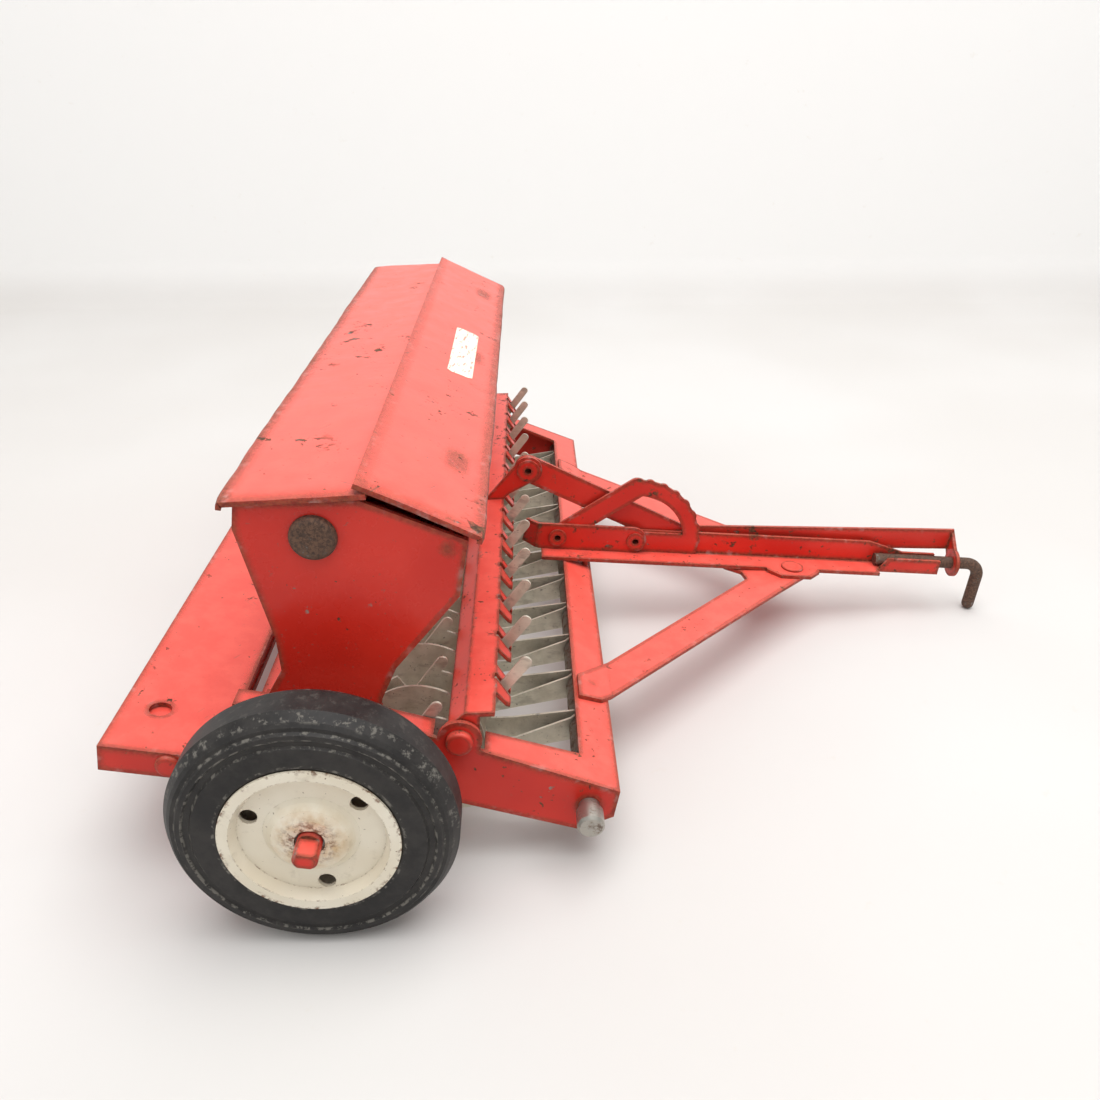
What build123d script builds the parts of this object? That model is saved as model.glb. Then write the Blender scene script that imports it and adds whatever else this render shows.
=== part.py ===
from build123d import *
import math
import os

# Pressed-steel toy grain drill, at its real size in millimetres.
# The machine is drawn level, with its origin on the axle at mid-width, +X to the hitch and +Z up.
# Each piece is then pitched nose-down about the axle, as the unhitched drill rests on its wheels
# and on the tip of its hitch hook, and lifted so that the floor is Z = 0. Last, the whole machine
# moves along X, so that the origin lies on the floor under the middle of its overall box.

# Stance
NOSE_DOWN = 10.0
WHEEL_R = 27.5

# Sheet and general fits
SHEET = 1.0
THIN_SHEET = 0.6
RUN_FIT = 0.06
SIDE_GAP = 0.3
SEAT_GAP = 0.03

# Frame
FRAME_HALF = 102.0
RAIL_TOP = 12.2
RAIL_BEND_X = 9.0
FRONT_X = 60.3
FRONT_TOP = 1.5
FRONT_RAIL = 8.7
SIDE_FLANGE = 8.7
SIDE_FLANGE_REAR = 5.0
FRONT_SKIRT = 10.5
SIDE_SKIRT_BOTTOM = -5.5
SKIRT_CORNER = 7.0
REAR_X = -20.0
TAIL_LENGTH = 22.0
TAIL_DEPTH = 4.0

# Rear footboard
BOARD_TOP = -1.5
BOARD_LENGTH = 26.0
BOARD_SKIRT = 6.2
BOARD_HOLE_R = 2.3
BOARD_FRONT_INSET = 2.4
BOARD_RIVET_SHARES = (0.15, 0.55)
CROSS_PLATE = 8.0
BOARD_HOLE_INSET = 13.5
BOARD_HOLE_FROM_REAR = 8.0
RIVET_R = 1.4
RIVET_HEAD_R = 2.6
RIVET_HEAD = 0.9

# Hopper
HOPPER_END_INSET = 0.8
HOPPER_FRONT = 20.9
HOPPER_REAR = -21.1
HOPPER_FRONT_TOP = 54.8
HOPPER_REAR_TOP = 55.5
RIDGE_X = 0.8
RIDGE_RISE = 4.1
SHOULDER_FRONT = 43.0
SHOULDER_REAR = 50.5
WAIST_HALF = 11.4
WAIST_Z = 25.0
TROUGH_FLOOR = 23.0
FOOT_REAR_X = -14.3
FOOT_FRONT_X = 8.8
FOOT_FLANGE = 4.0
END_RIVET_X = -6.7
END_RIVET_BELOW_TOP = 4.3
END_RIVET_R = 4.4
END_RIVET_HEAD = 1.6

# Roof
ROOF_OVERHANG = 1.4
ROOF_EAVES = 3.0
ROOF_RISE = 1.3
ROOF_LIP = 1.8
LID_LIFT = 1.2
LID_FRONT_RISE = 2.2
LID_OVERLAP = 2.0
HINGE_FROM_FRONT = 3.3
HINGE_BELOW_TOP = 2.2
HINGE_R = 0.8
KNUCKLE_WALL = 0.8
KNUCKLE_LENGTH = 9.0
KNUCKLE_FROM_END = 26.2
KNUCKLES = 3

# Axle and wheels
AXLE_R = 2.38
AXLE_STUB = 4.6
AXLE_FLAT = 7.0
SPACER_R = 3.8
WHEEL_STAND_OUT = 22.1
TYRE_WIDTH = 12.8
TYRE_FACE_INSET = 0.5
RIM_LIP = 0.9
RIM_SEAT_R = 16.0
RIM_SHEET = 0.8
RIM_DISH = 2.4
BOSS_R = 8.2
BOSS_RISE = 2.2
HUB_R = 4.2
HUB_LENGTH = 10.6
WHEEL_HOLE_R = 1.7
WHEEL_HOLE_AT = 12.0
WHEEL_HOLES = 3
WHEEL_HOLE_START = 47.5

# Openers
OPENERS = 12
OPENER_SIDE_ROOM = 2.1
OPENER_ROD_FROM_FRONT = 5.8
OPENER_ROD_BELOW_TOP = 4.7
OPENER_ROD_R = 2.2
OPENER_ROD_STUB = 6.6
PEEN_SPREAD = 0.7
OPENER_EYE_R = 3.8
SPACER_WALL = 0.9
OPENER_FOLD_REACH = 3.5
OPENER_SPREAD = 6.4
DISC_R = 14.0
DISC_AXLE_GAP = 1.12
DISC_Z = -3.8
NECK_FROM_ROD = 16.5
NECK_NEAR_DROP = 5.1
NECK_FAR_DROP = 2.6
THROAT_FROM_DISC = 1.7
THROAT_DROP = 1.4
PRONG_W = 2.5
PRONG_LEAN = 63.0
FRONT_PRONG_FROM_ROCK = (9.0, 6.4)
FRONT_PRONG_UP = 5.8
FRONT_PRONG_DOWN = 13.5
REAR_PRONG_FROM_DISC = (1.8, 16.4)
REAR_PRONG_DOWN = 9.0
NOTCH_FROM_DISC = (-3.5, 7.2)

# Rockshaft
ROCK_X = 25.2
ROCK_Z = 9.8
ROCK_PIN_R = 1.5
ROCK_EAR_R = 4.6
ROCK_TAB_R = 4.0
ROCK_TO_FOLD = (0.2, 6.0)
ROCK_TO_REAR_EDGE = (-2.8, 2.2)
ROCK_TO_FRONT_EDGE = (6.2, 7.2)
ROCK_TO_FORK_TIP = (9.9, 2.9)
FORK_FAR = 4.0
FORK_NEAR = 6.5
FORK_TIP_FAR = 2.2
FORK_TIP_NEAR = 3.4
SLIT_W = 2.0
SLIT_DEPTH = 0.4
ROCK_TO_CRANK_EYE = (11.8, 17.4)
CRANK_EYE_R = 4.1

# Tongue
STUD_R = 0.9
STUD_LENGTH = 4.2
PAD_STUD_LENGTH = 2.0
TONGUE_SLOPE = 6.0
TONGUE_LAP = 15.3
ROD_R = 1.8
ROD_GAP = 0.1
WEB_HEIGHT = 7.2
FLANGE_W = 8.5
FLANGE_EAR_W = 13.0
FLANGE_EAR_FROM = 68.0
FLANGE_EAR_TO = 84.0
SLEEVE_FROM = 103.0
SLEEVE_TO = 122.0
SLEEVE_LIP = 4.0
WEB_DROP_FROM = 101.0
WEB_DROP_TO = 112.0
STRAP_LENGTH = 31.5
STRAP_HEIGHT = 8.2
STRAP_TAIL = 5.0
STRAP_LEAD = 1.2
STRAP_TAIL_ANGLE = 45.0
EYELET_R = 1.3
EYELET_HEAD_R = 2.7
EYELET_BORE_R = 0.95
CRANK_HEAD_R = 3.3
EYELET_REAR_U = 4.6
EYELET_FRONT_U = 28.2
EYELET_V = 4.4
QUADRANT_INNER = 14.5
QUADRANT_OUTER = 19.4
QUADRANT_ARM_W = 6.2
QUADRANT_BASE = 6.4
QUADRANT_TEETH = 7
TOOTH_SCALLOP_R = 1.9
QUADRANT_TOP_ANGLE = 100.0

# Brace
BRACE_PAD_FROM_SIDE = 35.5
BRACE_PAD_OUT = 6.6
BRACE_PAD_IN = 10.2
BRACE_NOSE_REACH = 82.5
BRACE_NOSE_HALF = 8.5
BRACE_CROTCH_REACH = 65.0
BRACE_CROTCH_HALF = 6.5
BRACE_WEB_REACH = 55.5
BRACE_BEND_REACH = 69.0

# Link, pull bar and hitch rod
LINK_W = 8.0
LINK_PIN_R = 1.2
LINK_PIN_PLAY = 0.7
LINK_END_REACH = 41.6
LINK_END_RISE = 9.25
PULL_BAR_W = 6.6
PULL_BAR_TAIL = 14.6
PULL_BAR_RISE = 11.9
PULL_BAR_RISE_LENGTH = 82.4
PULL_TAB_REACH = 126.5
HOOK_BEND_R = 4.2
ROD_REAR_U = 102.5
ROD_BEND_U = 131.8

# Worked out from the values above
SIN_DOWN = math.sin(math.radians(NOSE_DOWN))
COS_DOWN = math.cos(math.radians(NOSE_DOWN))
SIDES = {"right": -1, "left": 1}
FRAME_DROP = (RAIL_TOP - FRONT_TOP) / (FRONT_X - RAIL_BEND_X)
SKIRT_IN = FRAME_HALF - SHEET
BOARD_HALF = FRAME_HALF + SHEET
BOARD_REAR_X = REAR_X - BOARD_LENGTH
BOARD_FRONT_X = REAR_X - BOARD_FRONT_INSET
END_OUT = FRAME_HALF - HOPPER_END_INSET
RIDGE_TOP = HOPPER_REAR_TOP + RIDGE_RISE
END_RIVET_Z = HOPPER_REAR_TOP - END_RIVET_BELOW_TOP
ROOF_HALF = END_OUT + ROOF_OVERHANG
ROOF_REAR_X = HOPPER_REAR - ROOF_EAVES
LID_FRONT_X = HOPPER_FRONT + ROOF_EAVES
LID_FRONT_TOP = HOPPER_FRONT_TOP + LID_FRONT_RISE
HINGE_X = HOPPER_FRONT - HINGE_FROM_FRONT
HINGE_Z = HOPPER_FRONT_TOP - HINGE_BELOW_TOP
KNUCKLE_SPAN = 2 * (END_OUT - KNUCKLE_FROM_END)
WHEEL_FACE = FRAME_HALF + WHEEL_STAND_OUT
AXLE_HALF = WHEEL_FACE + AXLE_STUB
RIM_R = RIM_SEAT_R + RIM_LIP
OPENER_PITCH = 2 * (SKIRT_IN - OPENER_SIDE_ROOM) / OPENERS
OPENER_ROD_X = FRONT_X - OPENER_ROD_FROM_FRONT
OPENER_ROD_Z = FRONT_TOP - OPENER_ROD_BELOW_TOP
OPENER_ROD_HALF = FRAME_HALF + OPENER_ROD_STUB
OPENER_FOLD_X = OPENER_ROD_X + OPENER_FOLD_REACH
DISC_X = AXLE_R + DISC_AXLE_GAP + DISC_R
NECK_X = OPENER_ROD_X - NECK_FROM_ROD
NECK_TOP_NEAR = OPENER_ROD_Z - NECK_NEAR_DROP
NECK_TOP_FAR = OPENER_ROD_Z - NECK_FAR_DROP
FRONT_PRONG_X = ROCK_X + FRONT_PRONG_FROM_ROCK[0]
FRONT_PRONG_Z = ROCK_Z + FRONT_PRONG_FROM_ROCK[1]
REAR_PRONG_X = DISC_X + REAR_PRONG_FROM_DISC[0]
REAR_PRONG_Z = DISC_Z + REAR_PRONG_FROM_DISC[1]
NOTCH_X = DISC_X + NOTCH_FROM_DISC[0]
NOTCH_Z = DISC_Z + NOTCH_FROM_DISC[1]
ROCK_FOLD = (ROCK_X + ROCK_TO_FOLD[0], ROCK_Z + ROCK_TO_FOLD[1])
ROCK_REAR_EDGE = (ROCK_X + ROCK_TO_REAR_EDGE[0], ROCK_Z + ROCK_TO_REAR_EDGE[1])
ROCK_FRONT_EDGE = (ROCK_X + ROCK_TO_FRONT_EDGE[0], ROCK_Z + ROCK_TO_FRONT_EDGE[1])
FORK_TIP = (ROCK_X + ROCK_TO_FORK_TIP[0], ROCK_Z + ROCK_TO_FORK_TIP[1])
CRANK_EYE_X = ROCK_X + ROCK_TO_CRANK_EYE[0]
CRANK_EYE_Z = ROCK_Z + ROCK_TO_CRANK_EYE[1]
BRACE_PAD_Y = FRAME_HALF - BRACE_PAD_FROM_SIDE
TONGUE_X = FRONT_X - TONGUE_LAP
ROOF_REAR_TOP = HOPPER_REAR_TOP + ROOF_RISE - 0.5
ROOF_RIDGE_TOP = RIDGE_TOP + ROOF_RISE + SHEET
TONGUE_RISE = math.tan(math.radians(TONGUE_SLOPE))
RAIL_EDGE_X = FRONT_X - FRONT_RAIL
RAIL_EDGE_TOP = RAIL_TOP - (RAIL_EDGE_X - RAIL_BEND_X) * FRAME_DROP
TONGUE_Z = RAIL_EDGE_TOP + SEAT_GAP + SHEET / 2 - (RAIL_EDGE_X - TONGUE_X) * TONGUE_RISE
LINK_END_X = TONGUE_X + LINK_END_REACH
LINK_END_Z = TONGUE_Z + LINK_END_RISE
PULL_BAR_REAR_X = LINK_END_X - PULL_BAR_TAIL
PULL_TAB_X = TONGUE_X + PULL_TAB_REACH
BRACE_NOSE_X = TONGUE_X + BRACE_NOSE_REACH
BRACE_CROTCH_X = TONGUE_X + BRACE_CROTCH_REACH
BRACE_BEND_X = TONGUE_X + BRACE_BEND_REACH
WEB_Y = ROD_R + ROD_GAP
QUADRANT_Y = WEB_Y - SHEET
STRAP_Y = QUADRANT_Y - SHEET
CRANK_Y = WEB_Y
LINK_Y = CRANK_Y + SHEET + SIDE_GAP
PULL_BAR_Y = LINK_Y + SHEET + SIDE_GAP
ROD_V = SHEET / 2 + ROD_R + ROD_GAP
OPENER_TURN = math.degrees(math.atan2(OPENER_SPREAD, OPENER_FOLD_X - DISC_X + DISC_R))


def stand(shape):
    """Pitch a piece of the level machine about the axle and lift it on to the floor."""
    return Location((0, 0, WHEEL_R)) * Rot(0, NOSE_DOWN, 0) * shape


def keep(nodes, name, pieces):
    """Stand one node, which holds one solid or a group of identical ones, and keep it by name."""
    group = pieces if isinstance(pieces, list) else [pieces]
    nodes[name] = [stand(piece) for piece in group]


def write_all(nodes):
    """Centre the standing machine on its overall box and write each node."""
    boxes = [piece.bounding_box() for group in nodes.values() for piece in group]
    middle_x = (min(box.min.X for box in boxes) + max(box.max.X for box in boxes)) / 2
    for name, group in nodes.items():
        placed = [Pos(-middle_x, 0, 0) * piece for piece in group]
        shape = placed[0] if len(placed) == 1 else Compound(children=placed)
        shape.label = name
        export_step(shape, f"parts/{name}.step")


def side_plane(y):
    """The XZ plane at a given Y, with local x along +X and local y along +Z."""
    return Plane(origin=(0, y, 0), x_dir=(1, 0, 0), z_dir=(0, -1, 0))


def side_plate(sketch, y_low, y_high):
    """A plate of constant section along Y."""
    return extrude(side_plane(y_high) * sketch, y_high - y_low)


def plan_plate(sketch, z_low, z_high):
    """A plate of constant section along Z."""
    return extrude(Plane.XY.offset(z_low) * sketch, z_high - z_low)


def rod_y(x, z, radius, y_low, y_high):
    """A round bar along Y."""
    return side_plate(Pos(x, z) * Circle(radius), y_low, y_high)


def outline(*points):
    """A filled outline in the local XY plane."""
    return make_face(Polyline(*points, close=True))


def sheet_strip(points, thickness):
    """The side view of a bent sheet, whose upper face follows the points."""
    lower = [(x, z - thickness) for x, z in reversed(points)]
    return outline(*points, *lower)


def stadium(start, end, width):
    """A bar with round ends about two points."""
    dx = end[0] - start[0]
    dz = end[1] - start[1]
    length = math.hypot(dx, dz)
    turn = math.degrees(math.atan2(dz, dx))
    middle = Pos((start[0] + end[0]) / 2, (start[1] + end[1]) / 2)
    bar = middle * Rot(0, 0, turn) * Rectangle(length, width)
    return bar + Pos(*start) * Circle(width / 2) + Pos(*end) * Circle(width / 2)


def frame_top(x):
    """Height of the frame's upper face."""
    return RAIL_TOP if x < RAIL_BEND_X else RAIL_TOP - (x - RAIL_BEND_X) * FRAME_DROP


def tongue_point(u, v):
    """A point of the tongue: u along it from its rear end, v square to it."""
    slope = math.radians(TONGUE_SLOPE)
    x = TONGUE_X + u * math.cos(slope) - v * math.sin(slope)
    z = TONGUE_Z + u * math.sin(slope) + v * math.cos(slope)
    return x, z


def opener_y(index):
    """Centre of one opener across the machine."""
    return (index - (OPENERS - 1) / 2) * OPENER_PITCH


def rivet_y(x, z, y_low, y_high, side):
    """A rivet along Y whose round head stands outward at y_high on the given side."""
    shank = rod_y(x, z, RIVET_R, y_low, y_high)
    head = rod_y(x, z, RIVET_HEAD_R, y_high, y_high + RIVET_HEAD)
    head = fillet(head.edges().group_by(Axis.Y)[-1], RIVET_HEAD * 0.8)
    rivet = shank + head
    return rivet if side > 0 else mirror(rivet, Plane.XZ)


def skirt_outline():
    """Side view of a side rail's skirt, with the rockshaft's ear and the tail under the footboard."""
    front_low = frame_top(FRONT_X) - FRONT_SKIRT
    corner_x = FRONT_X - SKIRT_CORNER
    points = [
        (REAR_X - TAIL_LENGTH, BOARD_TOP - SHEET),
        (REAR_X, BOARD_TOP - SHEET),
        (REAR_X, RAIL_TOP),
        (RAIL_BEND_X, RAIL_TOP),
        (FRONT_X, frame_top(FRONT_X)),
        (FRONT_X, front_low + SKIRT_CORNER / 2),
        (corner_x, front_low - 1),
        (ROCK_X - ROCK_EAR_R, SIDE_SKIRT_BOTTOM),
        (REAR_X, SIDE_SKIRT_BOTTOM),
        (REAR_X, BOARD_TOP - SHEET - TAIL_DEPTH),
        (REAR_X - TAIL_LENGTH, BOARD_TOP - SHEET - TAIL_DEPTH),
    ]
    return outline(*points) + Pos(ROCK_X, ROCK_Z) * Circle(ROCK_EAR_R)


def main_frame():
    """One pressed sheet: front rail, two side rails, their skirts and a low cross plate behind."""
    top_side = sheet_strip(
        [(REAR_X, RAIL_TOP), (RAIL_BEND_X, RAIL_TOP), (FRONT_X, frame_top(FRONT_X))], SHEET
    )
    blank = side_plate(top_side, -FRAME_HALF, FRAME_HALF)
    window_front = FRONT_X - FRONT_RAIL
    inner = FRAME_HALF - SIDE_FLANGE
    inner_rear = FRAME_HALF - SIDE_FLANGE_REAR
    window = outline(
        (REAR_X - 1, -inner_rear), (RAIL_BEND_X, -inner_rear), (window_front, -inner),
        (window_front, inner), (RAIL_BEND_X, inner_rear), (REAR_X - 1, inner_rear),
    )
    top = blank - plan_plate(window, -WHEEL_R, WHEEL_R)
    for side in SIDES.values():
        tab_room = Pos(ROCK_X, side * (SKIRT_IN - SIDE_FLANGE / 2), RAIL_TOP)
        top -= tab_room * Box(2 * ROCK_EAR_R + 1.6, SIDE_FLANGE, 20)
    skirt_low = frame_top(FRONT_X) - FRONT_SKIRT + SKIRT_CORNER / 2
    front = side_plate(
        outline((FRONT_X - SHEET, skirt_low), (FRONT_X, skirt_low),
                (FRONT_X, frame_top(FRONT_X)), (FRONT_X - SHEET, frame_top(FRONT_X))),
        -FRAME_HALF, FRAME_HALF,
    )
    frame = top + front
    for side in SIDES.values():
        low, high = sorted((side * SKIRT_IN, side * FRAME_HALF))
        frame += side_plate(skirt_outline(), low, high)
    cross = outline(
        (REAR_X, SIDE_SKIRT_BOTTOM), (REAR_X + CROSS_PLATE, SIDE_SKIRT_BOTTOM),
        (REAR_X + CROSS_PLATE, SIDE_SKIRT_BOTTOM + SHEET), (REAR_X, SIDE_SKIRT_BOTTOM + SHEET),
    )
    frame += side_plate(cross, -SKIRT_IN, SKIRT_IN)
    frame -= rod_y(0, 0, AXLE_R + RUN_FIT, -FRAME_HALF - 1, FRAME_HALF + 1)
    frame -= rod_y(OPENER_ROD_X, OPENER_ROD_Z, OPENER_ROD_R + RUN_FIT, -FRAME_HALF - 1, FRAME_HALF + 1)
    frame -= rod_y(ROCK_X, ROCK_Z, ROCK_PIN_R, -FRAME_HALF - 1, FRAME_HALF + 1)
    return frame


def rear_footboard():
    """The flat board behind the hopper, with its edges folded down."""
    low_z = BOARD_TOP - BOARD_SKIRT
    back = sheet_strip([(BOARD_REAR_X, BOARD_TOP), (BOARD_FRONT_X, BOARD_TOP)], SHEET)
    back += outline((BOARD_REAR_X, BOARD_TOP), (BOARD_REAR_X + SHEET, BOARD_TOP),
                    (BOARD_REAR_X + SHEET, low_z), (BOARD_REAR_X, low_z))
    board = side_plate(back, -BOARD_HALF, BOARD_HALF)
    fold = outline((BOARD_FRONT_X - SHEET, BOARD_TOP), (BOARD_FRONT_X, BOARD_TOP),
                   (BOARD_FRONT_X, low_z), (BOARD_FRONT_X - SHEET, low_z))
    board += side_plate(fold, -SKIRT_IN + SIDE_GAP, SKIRT_IN - SIDE_GAP)
    for side in SIDES.values():
        low, high = sorted((side * (BOARD_HALF - SHEET), side * BOARD_HALF))
        edge = outline(
            (BOARD_REAR_X, BOARD_TOP), (REAR_X, BOARD_TOP), (REAR_X, BOARD_TOP - BOARD_SKIRT),
            (BOARD_REAR_X, BOARD_TOP - BOARD_SKIRT),
        )
        board += side_plate(edge, low, high)
        hole = Pos(BOARD_REAR_X + BOARD_HOLE_FROM_REAR, side * (BOARD_HALF - BOARD_HOLE_INSET), BOARD_TOP)
        board -= hole * Cylinder(BOARD_HOLE_R, 4 * SHEET)
    return board


def footboard_rivets():
    """Two rivets a side, through the footboard's edge and the frame's tail."""
    rivets = []
    for side in SIDES.values():
        for x, z in footboard_rivet_centres():
            rivets.append(rivet_y(x, z, SKIRT_IN - 0.5, BOARD_HALF, side))
    return rivets


def pierce_for_rivets(shape, centres, radius):
    """Drill a plate along Y at each centre."""
    for x, z in centres:
        shape -= rod_y(x, z, radius, -BOARD_HALF - 2, BOARD_HALF + 2)
    return shape


def footboard_rivet_centres():
    """Side-view centres of the footboard's rivets."""
    z = BOARD_TOP - SHEET - TAIL_DEPTH / 2
    return [(REAR_X - TAIL_LENGTH * share, z) for share in BOARD_RIVET_SHARES]


def hopper_end(side):
    """One end plate of the hopper, with its foot folded inward on the side rail."""
    foot_z = RAIL_TOP
    face = outline(
        (HOPPER_REAR, HOPPER_REAR_TOP), (HOPPER_REAR, SHOULDER_REAR),
        (-WAIST_HALF - 1, WAIST_Z + 3), (-WAIST_HALF + 0.4, WAIST_Z - 4), (FOOT_REAR_X, foot_z),
        (FOOT_FRONT_X, foot_z), (FOOT_FRONT_X, foot_z + 5), (WAIST_HALF - 0.6, WAIST_Z),
        (HOPPER_FRONT, SHOULDER_FRONT), (HOPPER_FRONT, HOPPER_FRONT_TOP), (RIDGE_X, RIDGE_TOP),
    )
    low, high = sorted((side * (END_OUT - SHEET), side * END_OUT))
    plate = side_plate(face, low, high)
    foot = outline((FOOT_REAR_X, foot_z), (FOOT_FRONT_X, foot_z),
                   (FOOT_FRONT_X, foot_z + SHEET), (FOOT_REAR_X, foot_z + SHEET))
    low, high = sorted((side * (END_OUT - FOOT_FLANGE), side * END_OUT))
    plate += side_plate(foot, low, high)
    plate -= rod_y(HINGE_X, HINGE_Z, HINGE_R, -END_OUT - 1, END_OUT + 1)
    return plate


def hopper_end_rivets():
    """The large round heads that close the hopper's ends."""
    rivets = []
    for side in SIDES.values():
        head = rod_y(END_RIVET_X, END_RIVET_Z, END_RIVET_R, END_OUT, END_OUT + END_RIVET_HEAD)
        head = fillet(head.edges().group_by(Axis.Y)[-1], END_RIVET_HEAD * 0.8)
        rivets.append(head if side > 0 else mirror(head, Plane.XZ))
    return rivets


def foot_rivet_at(side):
    """Places of the rivets that hold the hopper's feet to the side rails."""
    y = side * (END_OUT - SHEET - (FOOT_FLANGE - SHEET) / 2)
    return [(FOOT_REAR_X + 3.5, y), (FOOT_FRONT_X - 3.5, y)]


def hopper_foot_rivets():
    """Small rivets through the hopper's feet and the rails."""
    rivets = []
    for side in SIDES.values():
        for x, y in foot_rivet_at(side):
            shank = Pos(x, y, RAIL_TOP) * Cylinder(0.8, 2 * SHEET)
            head = Pos(x, y, RAIL_TOP + SHEET + 0.3) * Cylinder(1.3, 0.6)
            rivets.append(shank + head)
    return rivets


def hopper_trough():
    """The seed box: front wall, rear wall and floor folded from one sheet."""
    inner_y = END_OUT - SHEET
    outer = outline(
        (HOPPER_REAR, HOPPER_REAR_TOP - 0.2), (HOPPER_REAR, SHOULDER_REAR),
        (-WAIST_HALF - 1, WAIST_Z + 3), (-WAIST_HALF + 1, TROUGH_FLOOR), (WAIST_HALF - 2, TROUGH_FLOOR),
        (WAIST_HALF - 0.6, WAIST_Z), (HOPPER_FRONT, SHOULDER_FRONT), (HOPPER_FRONT, HOPPER_FRONT_TOP - 0.2),
    )
    inner = offset(outer, -SHEET, kind=Kind.INTERSECTION)
    mouth = outline(
        (HOPPER_REAR + SHEET, SHOULDER_REAR), (HOPPER_FRONT - SHEET, SHOULDER_FRONT),
        (HOPPER_FRONT - SHEET, RIDGE_TOP), (HOPPER_REAR + SHEET, RIDGE_TOP),
    )
    return side_plate(outer - inner - mouth, -inner_y, inner_y)


def roof_line(x):
    """Height of the rear roof panel's upper face."""
    share = (x - ROOF_REAR_X) / (RIDGE_X - ROOF_REAR_X)
    return ROOF_REAR_TOP + share * (ROOF_RIDGE_TOP - ROOF_REAR_TOP)


def hopper_rear_panel():
    """The fixed rear half of the roof, with a short lip folded down behind."""
    ridge = RIDGE_X + LID_OVERLAP / 2
    top = outline((ROOF_REAR_X, roof_line(ROOF_REAR_X)), (ridge, roof_line(ridge)),
                  (ridge, roof_line(ridge) - SHEET), (ROOF_REAR_X, roof_line(ROOF_REAR_X) - SHEET))
    lip = outline((ROOF_REAR_X, roof_line(ROOF_REAR_X)), (ROOF_REAR_X + SHEET, roof_line(ROOF_REAR_X)),
                  (ROOF_REAR_X + SHEET, roof_line(ROOF_REAR_X) - ROOF_LIP),
                  (ROOF_REAR_X, roof_line(ROOF_REAR_X) - ROOF_LIP))
    return side_plate(top + lip, -ROOF_HALF, ROOF_HALF)


def hopper_lid():
    """The front half of the roof, which opens on three knuckles about the hinge rod."""
    rear_x = RIDGE_X - LID_OVERLAP / 2
    rear_top = roof_line(rear_x) + LID_LIFT + SHEET
    panel = sheet_strip([(rear_x, rear_top), (LID_FRONT_X, LID_FRONT_TOP)], SHEET)
    lip = outline((LID_FRONT_X - SHEET, LID_FRONT_TOP), (LID_FRONT_X, LID_FRONT_TOP),
                  (LID_FRONT_X, LID_FRONT_TOP - ROOF_LIP), (LID_FRONT_X - SHEET, LID_FRONT_TOP - ROOF_LIP))
    lid = side_plate(panel + lip, -ROOF_HALF, ROOF_HALF)
    slope = (rear_top - LID_FRONT_TOP) / (LID_FRONT_X - rear_x)
    under = LID_FRONT_TOP + (LID_FRONT_X - HINGE_X) * slope - SHEET
    knuckle_r = HINGE_R + RUN_FIT + KNUCKLE_WALL
    for index in range(KNUCKLES):
        y = (index / (KNUCKLES - 1) - 0.5) * KNUCKLE_SPAN
        low = y - KNUCKLE_LENGTH / 2
        high = y + KNUCKLE_LENGTH / 2
        leaf = outline((HINGE_X - knuckle_r, HINGE_Z), (HINGE_X - knuckle_r + KNUCKLE_WALL, HINGE_Z),
                       (HINGE_X - knuckle_r + KNUCKLE_WALL, under + 0.5), (HINGE_X - knuckle_r, under + 0.5))
        lid += side_plate(leaf + Pos(HINGE_X, HINGE_Z) * Circle(knuckle_r), low, high)
    return lid - rod_y(HINGE_X, HINGE_Z, HINGE_R + RUN_FIT, -ROOF_HALF, ROOF_HALF)


def lid_hinge_rod():
    """The thin rod through both hopper ends on which the lid turns."""
    return rod_y(HINGE_X, HINGE_Z, HINGE_R, -END_OUT, END_OUT)


def flatten_end(rod, side, radius, length, half):
    """Crimp the last length of a rod along Y to a flat."""
    half_flat = radius * 0.62
    for face in (-1, 1):
        chop = Box(4 * radius, length, 2 * radius)
        rod -= Pos(0, side * (half - length / 2), face * (half_flat + radius)) * chop
    return rod


def axle():
    """The axle, crimped flat outside each wheel."""
    rod = rod_y(0, 0, AXLE_R, -AXLE_HALF, AXLE_HALF)
    rod = chamfer(rod.edges().filter_by(GeomType.CIRCLE), 0.5)
    for side in SIDES.values():
        rod = flatten_end(rod, side, AXLE_R, AXLE_FLAT * 0.6, AXLE_HALF)
    return rod


def axle_spacers():
    """Tubes between the frame's skirts and the wheel hubs."""
    start = FRAME_HALF
    end = WHEEL_FACE - HUB_LENGTH - SIDE_GAP
    tubes = []
    for side in SIDES.values():
        low, high = sorted((side * start, side * end))
        tubes.append(rod_y(0, 0, SPACER_R, low, high) - rod_y(0, 0, AXLE_R + RUN_FIT, low, high))
    return tubes


def turned(points):
    """A ring turned about the axle, from (radius, distance along +Y) points."""
    section = Plane.YZ * outline(*[(y, r) for r, y in points])
    return revolve(section, Axis.Y)


def tyre(side):
    """A moulded rubber tyre with a flat tread, stepped shoulders and ribbed walls."""
    face = WHEEL_FACE - TYRE_FACE_INSET
    back = face - TYRE_WIDTH
    half = [
        (RIM_SEAT_R, face - 1.2), (RIM_SEAT_R + 1.2, face),
        (WHEEL_R - 5.9, face), (WHEEL_R - 5.5, face - 0.5),
        (WHEEL_R - 4.5, face - 0.5), (WHEEL_R - 4.1, face - 0.1), (WHEEL_R - 3.1, face - 0.2),
        (WHEEL_R - 2.7, face - 0.8), (WHEEL_R - 1.9, face - 0.9), (WHEEL_R - 1.2, face - 1.6),
        (WHEEL_R - 0.6, face - 2.6), (WHEEL_R, face - 3.6),
    ]
    far = [(r, face + back - y) for r, y in reversed(half)]
    ring = turned(half + far)
    return ring if side > 0 else mirror(ring, Plane.XZ)


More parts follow.
